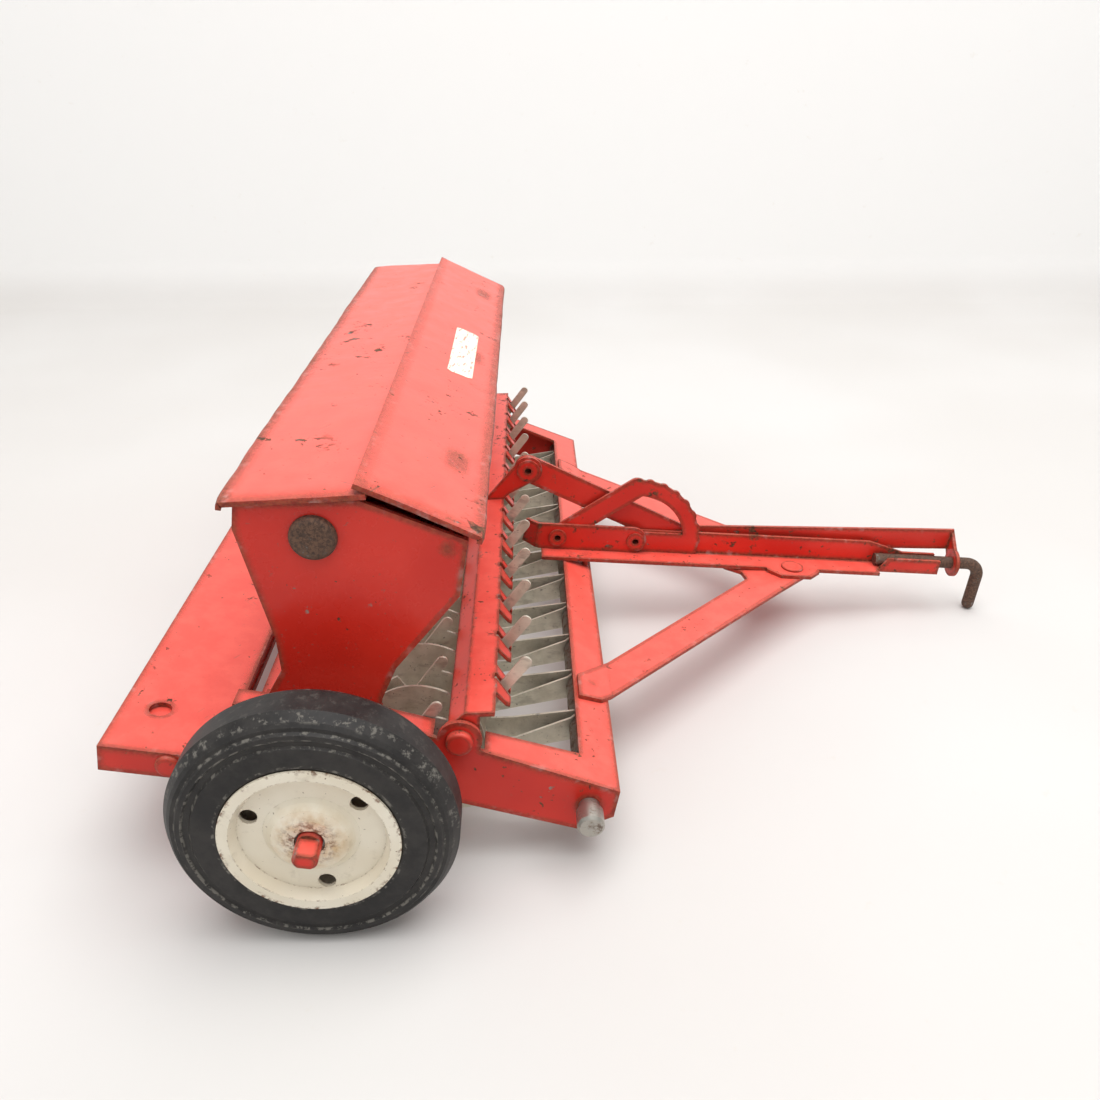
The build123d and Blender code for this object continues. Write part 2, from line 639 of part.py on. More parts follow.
def wheel_holes():
    """The cutters of a wheel's three round holes."""
    cutters = []
    for index in range(WHEEL_HOLES):
        angle = math.radians(WHEEL_HOLE_START + 360 * index / WHEEL_HOLES)
        x = WHEEL_HOLE_AT * math.cos(angle)
        z = WHEEL_HOLE_AT * math.sin(angle)
        cutters.append(rod_y(x, z, WHEEL_HOLE_R, WHEEL_FACE - 20, WHEEL_FACE + 5))
    return cutters


def rim_outer(side):
    """The outer pressed half of a wheel, dished, with a round boss at the hub."""
    face = WHEEL_FACE
    dish = face - RIM_DISH
    boss = dish + BOSS_RISE
    t = RIM_SHEET
    bore = AXLE_R + 0.5
    middle = face - TYRE_FACE_INSET - TYRE_WIDTH / 2
    points = [
        (bore, boss), (BOSS_R - 3.0, boss), (BOSS_R - 1.0, boss - 0.6),
        (BOSS_R, dish + 0.5), (BOSS_R + 0.8, dish),
        (RIM_SEAT_R - 2.2, dish), (RIM_SEAT_R - 1.2, face), (RIM_R, face), (RIM_R, face - TYRE_FACE_INSET),
        (RIM_SEAT_R + 0.2, face - TYRE_FACE_INSET), (RIM_SEAT_R, face - 1.0), (RIM_SEAT_R, middle),
        (RIM_SEAT_R - t, middle), (RIM_SEAT_R - t, dish - 0.6), (RIM_SEAT_R - t - 0.6, dish - t),
        (BOSS_R + 0.4, dish - t), (BOSS_R - 0.8, dish - t + 0.4), (BOSS_R - 1.8, boss - t - 0.4),
        (BOSS_R - 3.2, boss - t), (bore, boss - t),
    ]
    rim = turned(points)
    for cutter in wheel_holes():
        rim -= cutter
    return rim if side > 0 else mirror(rim, Plane.XZ)


def rim_inner(side):
    """The plain inner pressed half of a wheel."""
    back = WHEEL_FACE - TYRE_FACE_INSET - TYRE_WIDTH
    middle = WHEEL_FACE - TYRE_FACE_INSET - TYRE_WIDTH / 2
    t = RIM_SHEET
    wall = back + 2.0
    points = [
        (HUB_R, wall + t), (RIM_SEAT_R - t, wall + t), (RIM_SEAT_R - t, middle), (RIM_SEAT_R, middle),
        (RIM_SEAT_R, back + 1.2), (RIM_SEAT_R + 0.4, back + 0.1), (RIM_SEAT_R + 0.4, back - 0.5),
        (RIM_SEAT_R - 1.0, back - 0.5), (RIM_SEAT_R - 1.6, wall), (HUB_R, wall),
    ]
    rim = turned(points)
    for cutter in wheel_holes():
        rim -= cutter
    return rim if side > 0 else mirror(rim, Plane.XZ)


def hub_bush(side):
    """The tube that joins the wheel's two halves and turns on the axle."""
    outer = WHEEL_FACE - RIM_DISH + BOSS_RISE - RIM_SHEET
    inner = WHEEL_FACE - HUB_LENGTH
    tube = rod_y(0, 0, HUB_R, inner, outer) - rod_y(0, 0, AXLE_R + RUN_FIT, inner, outer)
    return tube if side > 0 else mirror(tube, Plane.XZ)


def opener_rod():
    """The long rod at the front on which the openers hang, with peened ends."""
    rod = rod_y(OPENER_ROD_X, OPENER_ROD_Z, OPENER_ROD_R, -OPENER_ROD_HALF, OPENER_ROD_HALF)
    for side in SIDES.values():
        low, high = sorted((side * (OPENER_ROD_HALF - 5), side * OPENER_ROD_HALF))
        end = rod_y(OPENER_ROD_X, OPENER_ROD_Z, OPENER_ROD_R + PEEN_SPREAD, low, high)
        rod += chamfer(end.edges().filter_by(GeomType.CIRCLE), PEEN_SPREAD * 0.8)
    return rod


def opener_spacers():
    """Short tubes that hold the openers apart on their rod."""
    tube_r = OPENER_ROD_R + SPACER_WALL
    reach = (OPENER_FOLD_X - OPENER_ROD_X + tube_r) * math.tan(math.radians(OPENER_TURN))
    room = reach + THIN_SHEET / math.cos(math.radians(OPENER_TURN)) + SIDE_GAP
    edges = [-SKIRT_IN]
    for index in range(OPENERS):
        edges += [opener_y(index) - room, opener_y(index) + room]
    edges.append(SKIRT_IN)
    tubes = []
    for low, high in zip(edges[0::2], edges[1::2]):
        tube = rod_y(OPENER_ROD_X, OPENER_ROD_Z, tube_r, low, high)
        tubes.append(tube - rod_y(OPENER_ROD_X, OPENER_ROD_Z, OPENER_ROD_R + RUN_FIT, low, high))
    return tubes


def prong(x, z, up, down):
    """A round-ended prong that leans forward through a point."""
    lean = math.radians(PRONG_LEAN)
    top = (x + up * math.cos(lean), z + up * math.sin(lean))
    foot = (x - down * math.cos(lean), z - down * math.sin(lean))
    return stadium(foot, top, PRONG_W)


def opener_plate(neck_top):
    """Side view of one opener plate: eye, arm and disc."""
    eye_top = OPENER_ROD_Z + OPENER_EYE_R
    throat_x = DISC_X + DISC_R + THROAT_FROM_DISC
    arm = outline(
        (OPENER_ROD_X, eye_top), (NECK_X, neck_top), (throat_x, neck_top - THROAT_DROP),
        (DISC_X + DISC_R * 0.8, DISC_Z + DISC_R * 0.5),
        (DISC_X, DISC_Z), (DISC_X + DISC_R * 0.3, DISC_Z - DISC_R * 0.92),
        (OPENER_ROD_X - 1.0, OPENER_ROD_Z - OPENER_EYE_R), (OPENER_ROD_X, OPENER_ROD_Z),
    )
    return arm + Pos(DISC_X, DISC_Z) * Circle(DISC_R) + Pos(OPENER_ROD_X, OPENER_ROD_Z) * Circle(OPENER_EYE_R)


def opener():
    """One furrow opener at mid-width: a sheet folded in front, with a disc on each side."""
    near = opener_plate(NECK_TOP_NEAR)
    near -= outline((NOTCH_X, NOTCH_Z), (NOTCH_X - 10, NOTCH_Z + 11), (NOTCH_X + 5, NOTCH_Z + 11))
    near += prong(REAR_PRONG_X, REAR_PRONG_Z, 0, REAR_PRONG_DOWN)
    far = opener_plate(NECK_TOP_FAR)
    far += prong(FRONT_PRONG_X, FRONT_PRONG_Z, FRONT_PRONG_UP, FRONT_PRONG_DOWN)
    fold = Pos(OPENER_FOLD_X, 0, 0)
    near_plate = fold * Rot(0, 0, OPENER_TURN) * Pos(-OPENER_FOLD_X, 0, 0) * side_plate(near, -THIN_SHEET, 0)
    far_plate = fold * Rot(0, 0, -OPENER_TURN) * Pos(-OPENER_FOLD_X, 0, 0) * side_plate(far, 0, THIN_SHEET)
    folded = near_plate + far_plate
    return folded - rod_y(OPENER_ROD_X, OPENER_ROD_Z, OPENER_ROD_R + RUN_FIT, -5, 5)


def rockshaft():
    """The folded bar that holds the openers' prongs in its forks, with a tab at each end."""
    profile = sheet_strip([ROCK_REAR_EDGE, ROCK_FOLD, ROCK_FRONT_EDGE], SHEET)
    end = SKIRT_IN - SIDE_GAP
    bar = side_plate(profile, -end, end)
    lip = side_plate(sheet_strip([ROCK_FOLD, ROCK_FRONT_EDGE, FORK_TIP], SHEET), -end, end)
    root_x = ROCK_FRONT_EDGE[0] - SHEET
    tip_x = FORK_TIP[0]
    slit_x = ROCK_FRONT_EDGE[0] - SLIT_DEPTH
    low = ROCK_Z - ROCK_TAB_R
    high = ROCK_Z + 3 * ROCK_TAB_R
    for index in range(OPENERS):
        y = opener_y(index) + (OPENER_FOLD_X - FRONT_PRONG_X) * math.tan(math.radians(OPENER_TURN))
        fork = outline(
            (root_x, y + FORK_FAR), (tip_x - 1.5, y + FORK_FAR), (tip_x, y + FORK_TIP_FAR),
            (tip_x, y - FORK_TIP_NEAR), (tip_x - 1.0, y - FORK_TIP_NEAR - 1.4), (root_x, y - FORK_NEAR),
        )
        slit = outline((slit_x, y - SLIT_W / 2), (tip_x + 1, y - SLIT_W / 2),
                       (tip_x + 1, y + SLIT_W / 2), (slit_x, y + SLIT_W / 2))
        bar += lip & plan_plate(fork, low, high)
        bar -= plan_plate(slit, low, high)
    tab = Pos(ROCK_X, ROCK_Z) * Circle(ROCK_TAB_R)
    tab += outline((ROCK_X - ROCK_TAB_R, ROCK_Z), ROCK_REAR_EDGE, ROCK_FOLD,
                   (ROCK_FOLD[0] + 3, ROCK_FOLD[1] + 0.5), (ROCK_X + ROCK_TAB_R, ROCK_Z))
    for side in SIDES.values():
        low, high = sorted((side * (end - SHEET), side * end))
        bar += side_plate(tab, low, high)
    return bar - rod_y(ROCK_X, ROCK_Z, ROCK_PIN_R + RUN_FIT, -end - 1, end + 1)


def rockshaft_pins():
    """The two headed pins, fixed in the frame's ears, on which the rockshaft turns."""
    pins = []
    for side in SIDES.values():
        shank = rod_y(ROCK_X, ROCK_Z, ROCK_PIN_R, SKIRT_IN - SHEET - 1.5, FRAME_HALF)
        head = rod_y(ROCK_X, ROCK_Z, 2.8, FRAME_HALF, FRAME_HALF + 1.6)
        head = fillet(head.edges().group_by(Axis.Y)[-1], 0.7)
        pin = shank + head
        pins.append(pin if side > 0 else mirror(pin, Plane.XZ))
    return pins


def rockshaft_crank():
    """The upright arm welded to the rockshaft, with the link's eye at its top."""
    crown = (ROCK_FOLD[0] + 3.2, ROCK_FOLD[1] + 0.7)
    foot_rear = (ROCK_FOLD[0] + 0.6, ROCK_FOLD[1] + 0.2)
    foot_front = (ROCK_FRONT_EDGE[0] - 0.2, ROCK_FRONT_EDGE[1] - 0.05)
    arm = outline(foot_rear, foot_front, (foot_front[0] + 1.5, foot_front[1] + 2.0),
                  (CRANK_EYE_X + 3.6, CRANK_EYE_Z - 2.0), (CRANK_EYE_X - 2.6, CRANK_EYE_Z + 3.2))
    arm += Pos(CRANK_EYE_X, CRANK_EYE_Z) * Circle(CRANK_EYE_R)
    arm -= outline((crown[0] - 4, crown[1] - 6), (crown[0] + 8, crown[1] - 6), ROCK_FRONT_EDGE, ROCK_FOLD)
    plate = side_plate(arm, CRANK_Y, CRANK_Y + SHEET)
    return plate - rod_y(CRANK_EYE_X, CRANK_EYE_Z, EYELET_R, CRANK_Y - 1, CRANK_Y + SHEET + 1)


def eyelet(x, z, y_low, y_high, head_r):
    """A semi-tubular rivet along Y: a shank hollow from one end, with a rolled head at each end."""
    shank = rod_y(x, z, EYELET_R, y_low, y_high)
    heads = rod_y(x, z, head_r, y_low - 0.6, y_low)
    heads += rod_y(x, z, EYELET_HEAD_R - 0.5, y_high, y_high + 0.25)
    bore = rod_y(x, z, EYELET_BORE_R, y_low - 1, y_high - 0.5)
    return shank + heads - bore


def crank_rivet():
    """The tubular rivet that joins the crank and the link arm."""
    return eyelet(CRANK_EYE_X, CRANK_EYE_Z, CRANK_Y, LINK_Y + SHEET + 0.1, CRANK_HEAD_R)


def link_arm():
    """The flat link from the crank to the pull bar, with a loose hole at its front end."""
    face = stadium((CRANK_EYE_X, CRANK_EYE_Z), (LINK_END_X, LINK_END_Z), LINK_W)
    plate = side_plate(face, LINK_Y, LINK_Y + SHEET)
    plate -= rod_y(CRANK_EYE_X, CRANK_EYE_Z, EYELET_R + RUN_FIT, LINK_Y - 1, LINK_Y + SHEET + 1)
    return plate - rod_y(LINK_END_X, LINK_END_Z, LINK_PIN_R + LINK_PIN_PLAY, LINK_Y - 1, LINK_Y + SHEET + 1)


def pull_bar_low(x):
    """Height of the pull bar's centre line."""
    return LINK_END_Z + (x - LINK_END_X) * PULL_BAR_RISE / PULL_BAR_RISE_LENGTH


def pull_bar():
    """The flat bar beside the tongue, bent across in front to hold the hitch rod."""
    start = (PULL_BAR_REAR_X, pull_bar_low(PULL_BAR_REAR_X))
    end = (PULL_TAB_X - 1.0, pull_bar_low(PULL_TAB_X - 1.0))
    face = stadium(start, end, PULL_BAR_W) - Pos(*end) * Circle(PULL_BAR_W)
    face += outline(
        (end[0] - PULL_BAR_W - 1, pull_bar_low(end[0] - PULL_BAR_W - 1) - PULL_BAR_W / 2),
        (end[0], end[1] - PULL_BAR_W / 2), (end[0], end[1] + PULL_BAR_W / 2),
        (end[0] - PULL_BAR_W - 1, pull_bar_low(end[0] - PULL_BAR_W - 1) + PULL_BAR_W / 2),
    )
    bar = side_plate(face, PULL_BAR_Y, PULL_BAR_Y + SHEET)
    rod_x, rod_z = tongue_point((PULL_TAB_X - TONGUE_X) / math.cos(math.radians(TONGUE_SLOPE)), ROD_V)
    across = Plane(origin=(rod_x, 0, rod_z), x_dir=(0, 1, 0), z_dir=(math.cos(math.radians(TONGUE_SLOPE)), 0,
                                                                   math.sin(math.radians(TONGUE_SLOPE))))
    high = end[1] + PULL_BAR_W / 2 - rod_z
    low = end[1] - PULL_BAR_W / 2 - rod_z
    tab = outline((0, -4.2), (PULL_BAR_Y + SHEET, low), (PULL_BAR_Y + SHEET, high), (0, 4.2))
    tab += Circle(4.2)
    tab -= Circle(ROD_R)
    tab_solid = extrude(across * tab, SHEET / 2, both=True)
    return bar + tab_solid


def link_pin():
    """The headed pin on the pull bar that stands in the link arm's loose hole."""
    shank = rod_y(LINK_END_X, LINK_END_Z, LINK_PIN_R, LINK_Y - SIDE_GAP + 0.05, PULL_BAR_Y)
    head = rod_y(LINK_END_X, LINK_END_Z, 2.3, PULL_BAR_Y + SHEET, PULL_BAR_Y + SHEET + 0.7)
    through = rod_y(LINK_END_X, LINK_END_Z, LINK_PIN_R, PULL_BAR_Y, PULL_BAR_Y + SHEET)
    return shank + through + head


def hook_length():
    """Length of the hook's straight leg that brings its round tip to the floor."""
    x, z = tongue_point(ROD_BEND_U + HOOK_BEND_R, ROD_V - HOOK_BEND_R)
    lean = math.radians(NOSE_DOWN - TONGUE_SLOPE)
    height = WHEEL_R - x * SIN_DOWN + z * COS_DOWN
    return (height - ROD_R) / math.cos(lean)


def hitch_rod():
    """The round hitch rod, bent down in front as a hook with a round tip."""
    straight = Line((ROD_REAR_U, ROD_V), (ROD_BEND_U, ROD_V))
    bend = TangentArc((ROD_BEND_U, ROD_V), (ROD_BEND_U + HOOK_BEND_R, ROD_V - HOOK_BEND_R), tangent=(1, 0))
    tip_v = ROD_V - HOOK_BEND_R - hook_length()
    leg = Line((ROD_BEND_U + HOOK_BEND_R, ROD_V - HOOK_BEND_R), (ROD_BEND_U + HOOK_BEND_R, tip_v))
    slope = math.radians(TONGUE_SLOPE)
    lie = Plane(origin=(TONGUE_X, 0, TONGUE_Z), x_dir=(math.cos(slope), 0, math.sin(slope)), z_dir=(0, -1, 0))
    path = lie * (straight + bend + leg)
    start = path @ 0
    section = Plane(origin=start, z_dir=path % 0) * Circle(ROD_R)
    rod = sweep(section, path=path)
    x, z = tongue_point(ROD_BEND_U + HOOK_BEND_R, tip_v)
    return rod + Pos(x, 0, z) * Sphere(ROD_R)


def tongue_plate(points, y_low, y_high):
    """A plate of the tongue from (u, v) points."""
    return side_plate(outline(*[tongue_point(u, v) for u, v in points]), y_low, y_high)


def tongue():
    """The drawbar: an upright web, a flange under it and a rolled sleeve in front."""
    half = SHEET / 2
    web = tongue_plate(
        [(0, -half), (SLEEVE_TO, -half), (SLEEVE_TO, SLEEVE_LIP), (WEB_DROP_TO, SLEEVE_LIP),
         (WEB_DROP_FROM, WEB_HEIGHT), (0, WEB_HEIGHT)],
        WEB_Y, WEB_Y + SHEET,
    )
    edge_y = WEB_Y + SHEET - FLANGE_W
    flange = tongue_plate([(0, -half), (SLEEVE_FROM, -half), (SLEEVE_FROM, half), (0, half)], edge_y, WEB_Y)
    lip_y = -(WEB_Y + SHEET)
    sleeve = tongue_plate([(SLEEVE_FROM - 3, -half), (SLEEVE_TO, -half), (SLEEVE_TO, half),
                           (SLEEVE_FROM - 3, half)], lip_y, WEB_Y)
    lip = tongue_plate([(SLEEVE_FROM, -half), (SLEEVE_TO, -half), (SLEEVE_TO, SLEEVE_LIP),
                        (SLEEVE_FROM + 3, SLEEVE_LIP)], lip_y, lip_y + SHEET)
    ear_y = WEB_Y + SHEET - FLANGE_EAR_W
    ear = tongue_plate([(FLANGE_EAR_FROM, -half), (FLANGE_EAR_TO, -half), (FLANGE_EAR_TO, half),
                        (FLANGE_EAR_FROM, half)], ear_y, WEB_Y)
    ear = chamfer(ear.edges().filter_by(Axis.Z, tolerance=10).group_by(Axis.Y)[0], 3.5)
    body = web + flange + sleeve + lip + ear
    for u in (EYELET_REAR_U, EYELET_FRONT_U):
        x, z = tongue_point(u, EYELET_V)
        body -= rod_y(x, z, EYELET_R, WEB_Y - 1, WEB_Y + SHEET + 1)
    body -= brace_rivet_hole()
    for u, y in tongue_rivet_at():
        body -= tongue_peg(u, y, STUD_R, -2, 0)
    return body


def tongue_peg(u, y, radius, v_low, v_high):
    """A round peg square to the tongue's flange."""
    slope = math.radians(TONGUE_SLOPE)
    x, z = tongue_point(u, v_low)
    seat = Plane(origin=(x, y, z), x_dir=(0, 1, 0), z_dir=(-math.sin(slope), 0, math.cos(slope)))
    return extrude(seat * Circle(radius), v_high - v_low)


def tongue_rivet_at():
    """Places of the two rivets that hold the tongue on the front rail."""
    middle = FRONT_X - FRONT_RAIL / 2 - TONGUE_X
    y = WEB_Y + SHEET - FLANGE_W / 2 - 1.6
    return [(middle - 2.4, y), (middle + 2.4, y)]


def tongue_rivets():
    """Studs through the front rail, let into the tongue's flange from below."""
    pegs = []
    for u, y in tongue_rivet_at():
        pegs.append(tongue_peg(u, y, STUD_R, -STUD_LENGTH, 0))
    return pegs


def tongue_strap():
    """The short strap beside the web, its rear end bent across behind the web."""
    low = SHEET / 2
    high = low + STRAP_HEIGHT
    middle = (low + high) / 2
    ends = [tongue_point(-STRAP_LEAD, low), tongue_point(STRAP_LENGTH - STRAP_HEIGHT / 2, low),
            tongue_point(STRAP_LENGTH - STRAP_HEIGHT / 2, high), tongue_point(-STRAP_LEAD, high)]
    nose = tongue_point(STRAP_LENGTH - STRAP_HEIGHT / 2, middle)
    face = outline(*ends) + Pos(*nose) * Circle(STRAP_HEIGHT / 2)
    strap = side_plate(face, STRAP_Y, STRAP_Y + SHEET)
    reach = STRAP_TAIL * math.cos(math.radians(STRAP_TAIL_ANGLE))
    bend_x = TONGUE_X - STRAP_LEAD - SHEET / 2
    tail_plan = outline(
        (bend_x + SHEET, STRAP_Y), (bend_x, STRAP_Y + SHEET), (bend_x - reach, STRAP_Y + SHEET + reach),
        (bend_x - reach - 0.7, STRAP_Y + reach + 0.3), (bend_x - 0.4, STRAP_Y),
    )
    tail = plan_plate(tail_plan, TONGUE_Z - 5, TONGUE_Z + 20)
    band = outline(tongue_point(-reach - 5, low + 0.8), tongue_point(1, low), tongue_point(1, high),
                   tongue_point(-reach - 5, high - 0.6))
    strap += tail & side_plate(band, -20, 20)
    for u in (EYELET_REAR_U, EYELET_FRONT_U):
        x, z = tongue_point(u, EYELET_V)
        strap -= rod_y(x, z, EYELET_R, STRAP_Y - 1, STRAP_Y + SHEET + 1)
    return strap


def tongue_eyelets():
    """Two tubular rivets through strap, quadrant and web."""
    places = [tongue_point(u, EYELET_V) for u in (EYELET_REAR_U, EYELET_FRONT_U)]
    return [eyelet(x, z, STRAP_Y, WEB_Y + SHEET, EYELET_HEAD_R) for x, z in places]


def quadrant():
    """The fixed quadrant: a notched arc about the front eyelet, with an arm to the rear one."""
    cx, cz = tongue_point(EYELET_FRONT_U, EYELET_V)
    rx, rz = tongue_point(EYELET_REAR_U, EYELET_V)
    disc = Circle(QUADRANT_OUTER)
    low_angle = TONGUE_SLOPE - 14
    step = (QUADRANT_TOP_ANGLE - 12 - low_angle - 16) / (QUADRANT_TEETH - 1)
    for index in range(QUADRANT_TEETH):
        angle = math.radians(low_angle + 16 + index * step)
        reach = QUADRANT_OUTER - TOOTH_SCALLOP_R * 0.75
        disc += Pos(reach * math.cos(angle), reach * math.sin(angle)) * Circle(TOOTH_SCALLOP_R)
    span = 3 * QUADRANT_OUTER
    low = math.radians(low_angle)
    top = math.radians(QUADRANT_TOP_ANGLE)
    wedge = outline((0, 0), (span * math.cos(low), span * math.sin(low)), (span, span),
                    (0, span), (span * math.cos(top), span * math.sin(top)))
    ring = (disc & wedge) - Circle(QUADRANT_INNER)
    face = Pos(cx, cz) * ring
    middle_r = (QUADRANT_INNER + QUADRANT_OUTER) / 2
    arm_top = (cx + middle_r * math.cos(top), cz + middle_r * math.sin(top))
    face += stadium((rx, rz), arm_top, QUADRANT_ARM_W)
    base_low = SHEET / 2
    base_end = EYELET_FRONT_U + QUADRANT_OUTER - 0.4
    base_start = EYELET_REAR_U - QUADRANT_ARM_W / 2
    base_high = base_low + QUADRANT_BASE
    base = [tongue_point(base_start, base_low), tongue_point(base_end, base_low),
            tongue_point(base_end, base_high), tongue_point(base_start, base_high)]
    face += outline(*base)
    span_u = 2 * QUADRANT_OUTER
    face -= outline(tongue_point(-span_u, base_low), tongue_point(-span_u, -span_u),
                    tongue_point(3 * span_u, -span_u), tongue_point(3 * span_u, base_low))
    plate = side_plate(face, QUADRANT_Y, QUADRANT_Y + SHEET)
    for u in (EYELET_REAR_U, EYELET_FRONT_U):
        x, z = tongue_point(u, EYELET_V)
        plate -= rod_y(x, z, EYELET_R, QUADRANT_Y - 1, QUADRANT_Y + SHEET + 1)
    return plate


def brace_top(x):
    """Height of the brace's upper face under the tongue's flange."""
    return TONGUE_Z + (x - TONGUE_X) * TONGUE_RISE - SHEET / 2 / math.cos(math.radians(TONGUE_SLOPE))


def v_brace():
    """The flat two-armed brace from the front rail to the underside of the tongue."""
    lift = SHEET / math.cos(math.atan(FRAME_DROP))
    pad_rear = FRONT_X - FRONT_RAIL + 0.5
    bend = FRONT_X + 0.8
    profile = sheet_strip(
        [(pad_rear, frame_top(pad_rear) + lift), (bend, frame_top(bend) + lift),
         (BRACE_BEND_X, brace_top(BRACE_BEND_X)), (BRACE_NOSE_X + 2, brace_top(BRACE_NOSE_X + 2))], SHEET
    )
    sheet = side_plate(profile, -FRAME_HALF, FRAME_HALF)
    pad_edge = pad_rear + 0.5
    plan = None
    for side in SIDES.values():
        arm = outline(
            (pad_edge, side * (BRACE_PAD_Y + BRACE_PAD_OUT)),
            (FRONT_X - 2, side * (BRACE_PAD_Y + BRACE_PAD_OUT - 0.8)),
            (BRACE_NOSE_X - 4, side * BRACE_NOSE_HALF), (BRACE_CROTCH_X, side * BRACE_CROTCH_HALF),
            (FRONT_X, side * (BRACE_PAD_Y - BRACE_PAD_IN)), (pad_edge, side * (BRACE_PAD_Y - 2)),
        )
        plan = arm if plan is None else plan + arm
    nose = outline((BRACE_CROTCH_X, -BRACE_CROTCH_HALF), (BRACE_NOSE_X - 4, -BRACE_NOSE_HALF),
                   (BRACE_NOSE_X - 4, BRACE_NOSE_HALF), (BRACE_CROTCH_X, BRACE_CROTCH_HALF))
    tip = Pos(BRACE_NOSE_X - BRACE_NOSE_HALF, 0) * Circle(BRACE_NOSE_HALF)
    web_x = TONGUE_X + BRACE_WEB_REACH
    half = BRACE_CROTCH_HALF
    crotch_x = BRACE_CROTCH_X + 1
    web = outline(
        (web_x, half / 2), (web_x + 4.5, half), (web_x + 5.5, 1.8 * half), (crotch_x, half),
        (crotch_x, -half), (web_x + 5.5, -1.8 * half), (web_x + 4.5, -half), (web_x, -half / 2),
    )
    plan = plan + nose + tip + web
    brace = sheet & plan_plate(plan, -10, 40)
    brace -= brace_rivet_hole()
    for side in SIDES.values():
        brace -= pad_stud(side)
    return brace


def pad_stud(side):
    """The stud that holds one pad to the front rail, let in from below."""
    x = FRONT_X - FRONT_RAIL / 2
    top = frame_top(x) + SHEET / 2
    return Pos(x, side * BRACE_PAD_Y, top - PAD_STUD_LENGTH / 2) * Cylinder(STUD_R, PAD_STUD_LENGTH)


def brace_rivet_u():
    """Place of the brace's rivet along the tongue."""
    return (FLANGE_EAR_FROM + FLANGE_EAR_TO) / 2


def brace_rivet_y():
    """Place of the brace's rivet across the machine."""
    return WEB_Y + SHEET - FLANGE_EAR_W + 5.4


def brace_rivet_hole():
    """The cutter of the hole for the brace's rivet."""
    return tongue_peg(brace_rivet_u(), brace_rivet_y(), 1.5, -6, 6)


def brace_rivets():
    """The round rivet under the tongue and a stud under each pad on the front rail."""
    u = brace_rivet_u()
    y = brace_rivet_y()
    rivets = [tongue_peg(u, y, 1.5, -2.2, SHEET / 2) + tongue_peg(u, y, 3.3, SHEET / 2, SHEET / 2 + 0.5)]
    return rivets + [pad_stud(side) for side in SIDES.values()]


def build():
    """Make every node."""
    os.makedirs("parts", exist_ok=True)
    nodes = {}
    frame = pierce_for_rivets(main_frame(), footboard_rivet_centres(), RIVET_R)
    board = pierce_for_rivets(rear_footboard(), footboard_rivet_centres(), RIVET_R)
    for side in SIDES.values():
        for x, y in foot_rivet_at(side):
            frame -= Pos(x, y, RAIL_TOP) * Cylinder(0.8, 4 * SHEET)
    for u, y in tongue_rivet_at():
        frame -= tongue_peg(u, y, STUD_R, -8, 2)
    for side in SIDES.values():
        frame -= pad_stud(side)
    keep(nodes, "main_frame", frame)
    keep(nodes, "rear_footboard", board)
    keep(nodes, "footboard_rivets", footboard_rivets())
    for name, side in SIDES.items():
        end = hopper_end(side)
        for x, y in foot_rivet_at(side):
            end -= Pos(x, y, RAIL_TOP) * Cylinder(0.8, 4 * SHEET)
        keep(nodes, f"hopper_end_{name}", end)
        keep(nodes, f"tyre_{name}", tyre(side))
        keep(nodes, f"rim_outer_{name}", rim_outer(side))
        keep(nodes, f"rim_inner_{name}", rim_inner(side))
        keep(nodes, f"hub_bush_{name}", hub_bush(side))
    keep(nodes, "hopper_end_rivets", hopper_end_rivets())
    keep(nodes, "hopper_foot_rivets", hopper_foot_rivets())
    keep(nodes, "hopper_trough", hopper_trough())
    keep(nodes, "hopper_rear_panel", hopper_rear_panel())
    keep(nodes, "hopper_lid", hopper_lid())
    keep(nodes, "lid_hinge_rod", lid_hinge_rod())
    keep(nodes, "axle", axle())
    keep(nodes, "axle_spacers", axle_spacers())
    keep(nodes, "opener_rod", opener_rod())
    keep(nodes, "opener_spacers", opener_spacers())
    pattern = opener()
    for index in range(OPENERS):
        keep(nodes, f"opener_{index + 1:02d}", Pos(0, opener_y(index), 0) * pattern)
    keep(nodes, "rockshaft", rockshaft())
    keep(nodes, "rockshaft_pins", rockshaft_pins())
    keep(nodes, "rockshaft_crank", rockshaft_crank())
    keep(nodes, "crank_rivet", crank_rivet())
    keep(nodes, "link_arm", link_arm())
    keep(nodes, "link_pin", link_pin())
    bar = pull_bar() - rod_y(LINK_END_X, LINK_END_Z, LINK_PIN_R, PULL_BAR_Y - 1, PULL_BAR_Y + SHEET + 1)
    keep(nodes, "pull_bar", bar)
    keep(nodes, "hitch_rod", hitch_rod())
    keep(nodes, "tongue", tongue())
    keep(nodes, "tongue_rivets", tongue_rivets())
    keep(nodes, "tongue_strap", tongue_strap())
    keep(nodes, "tongue_eyelets", tongue_eyelets())
    keep(nodes, "quadrant", quadrant())
    keep(nodes, "v_brace", v_brace())
    keep(nodes, "brace_rivets", brace_rivets())
    write_all(nodes)


build()
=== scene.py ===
import math

import bmesh
import bpy
from mathutils import Matrix, Vector, noise


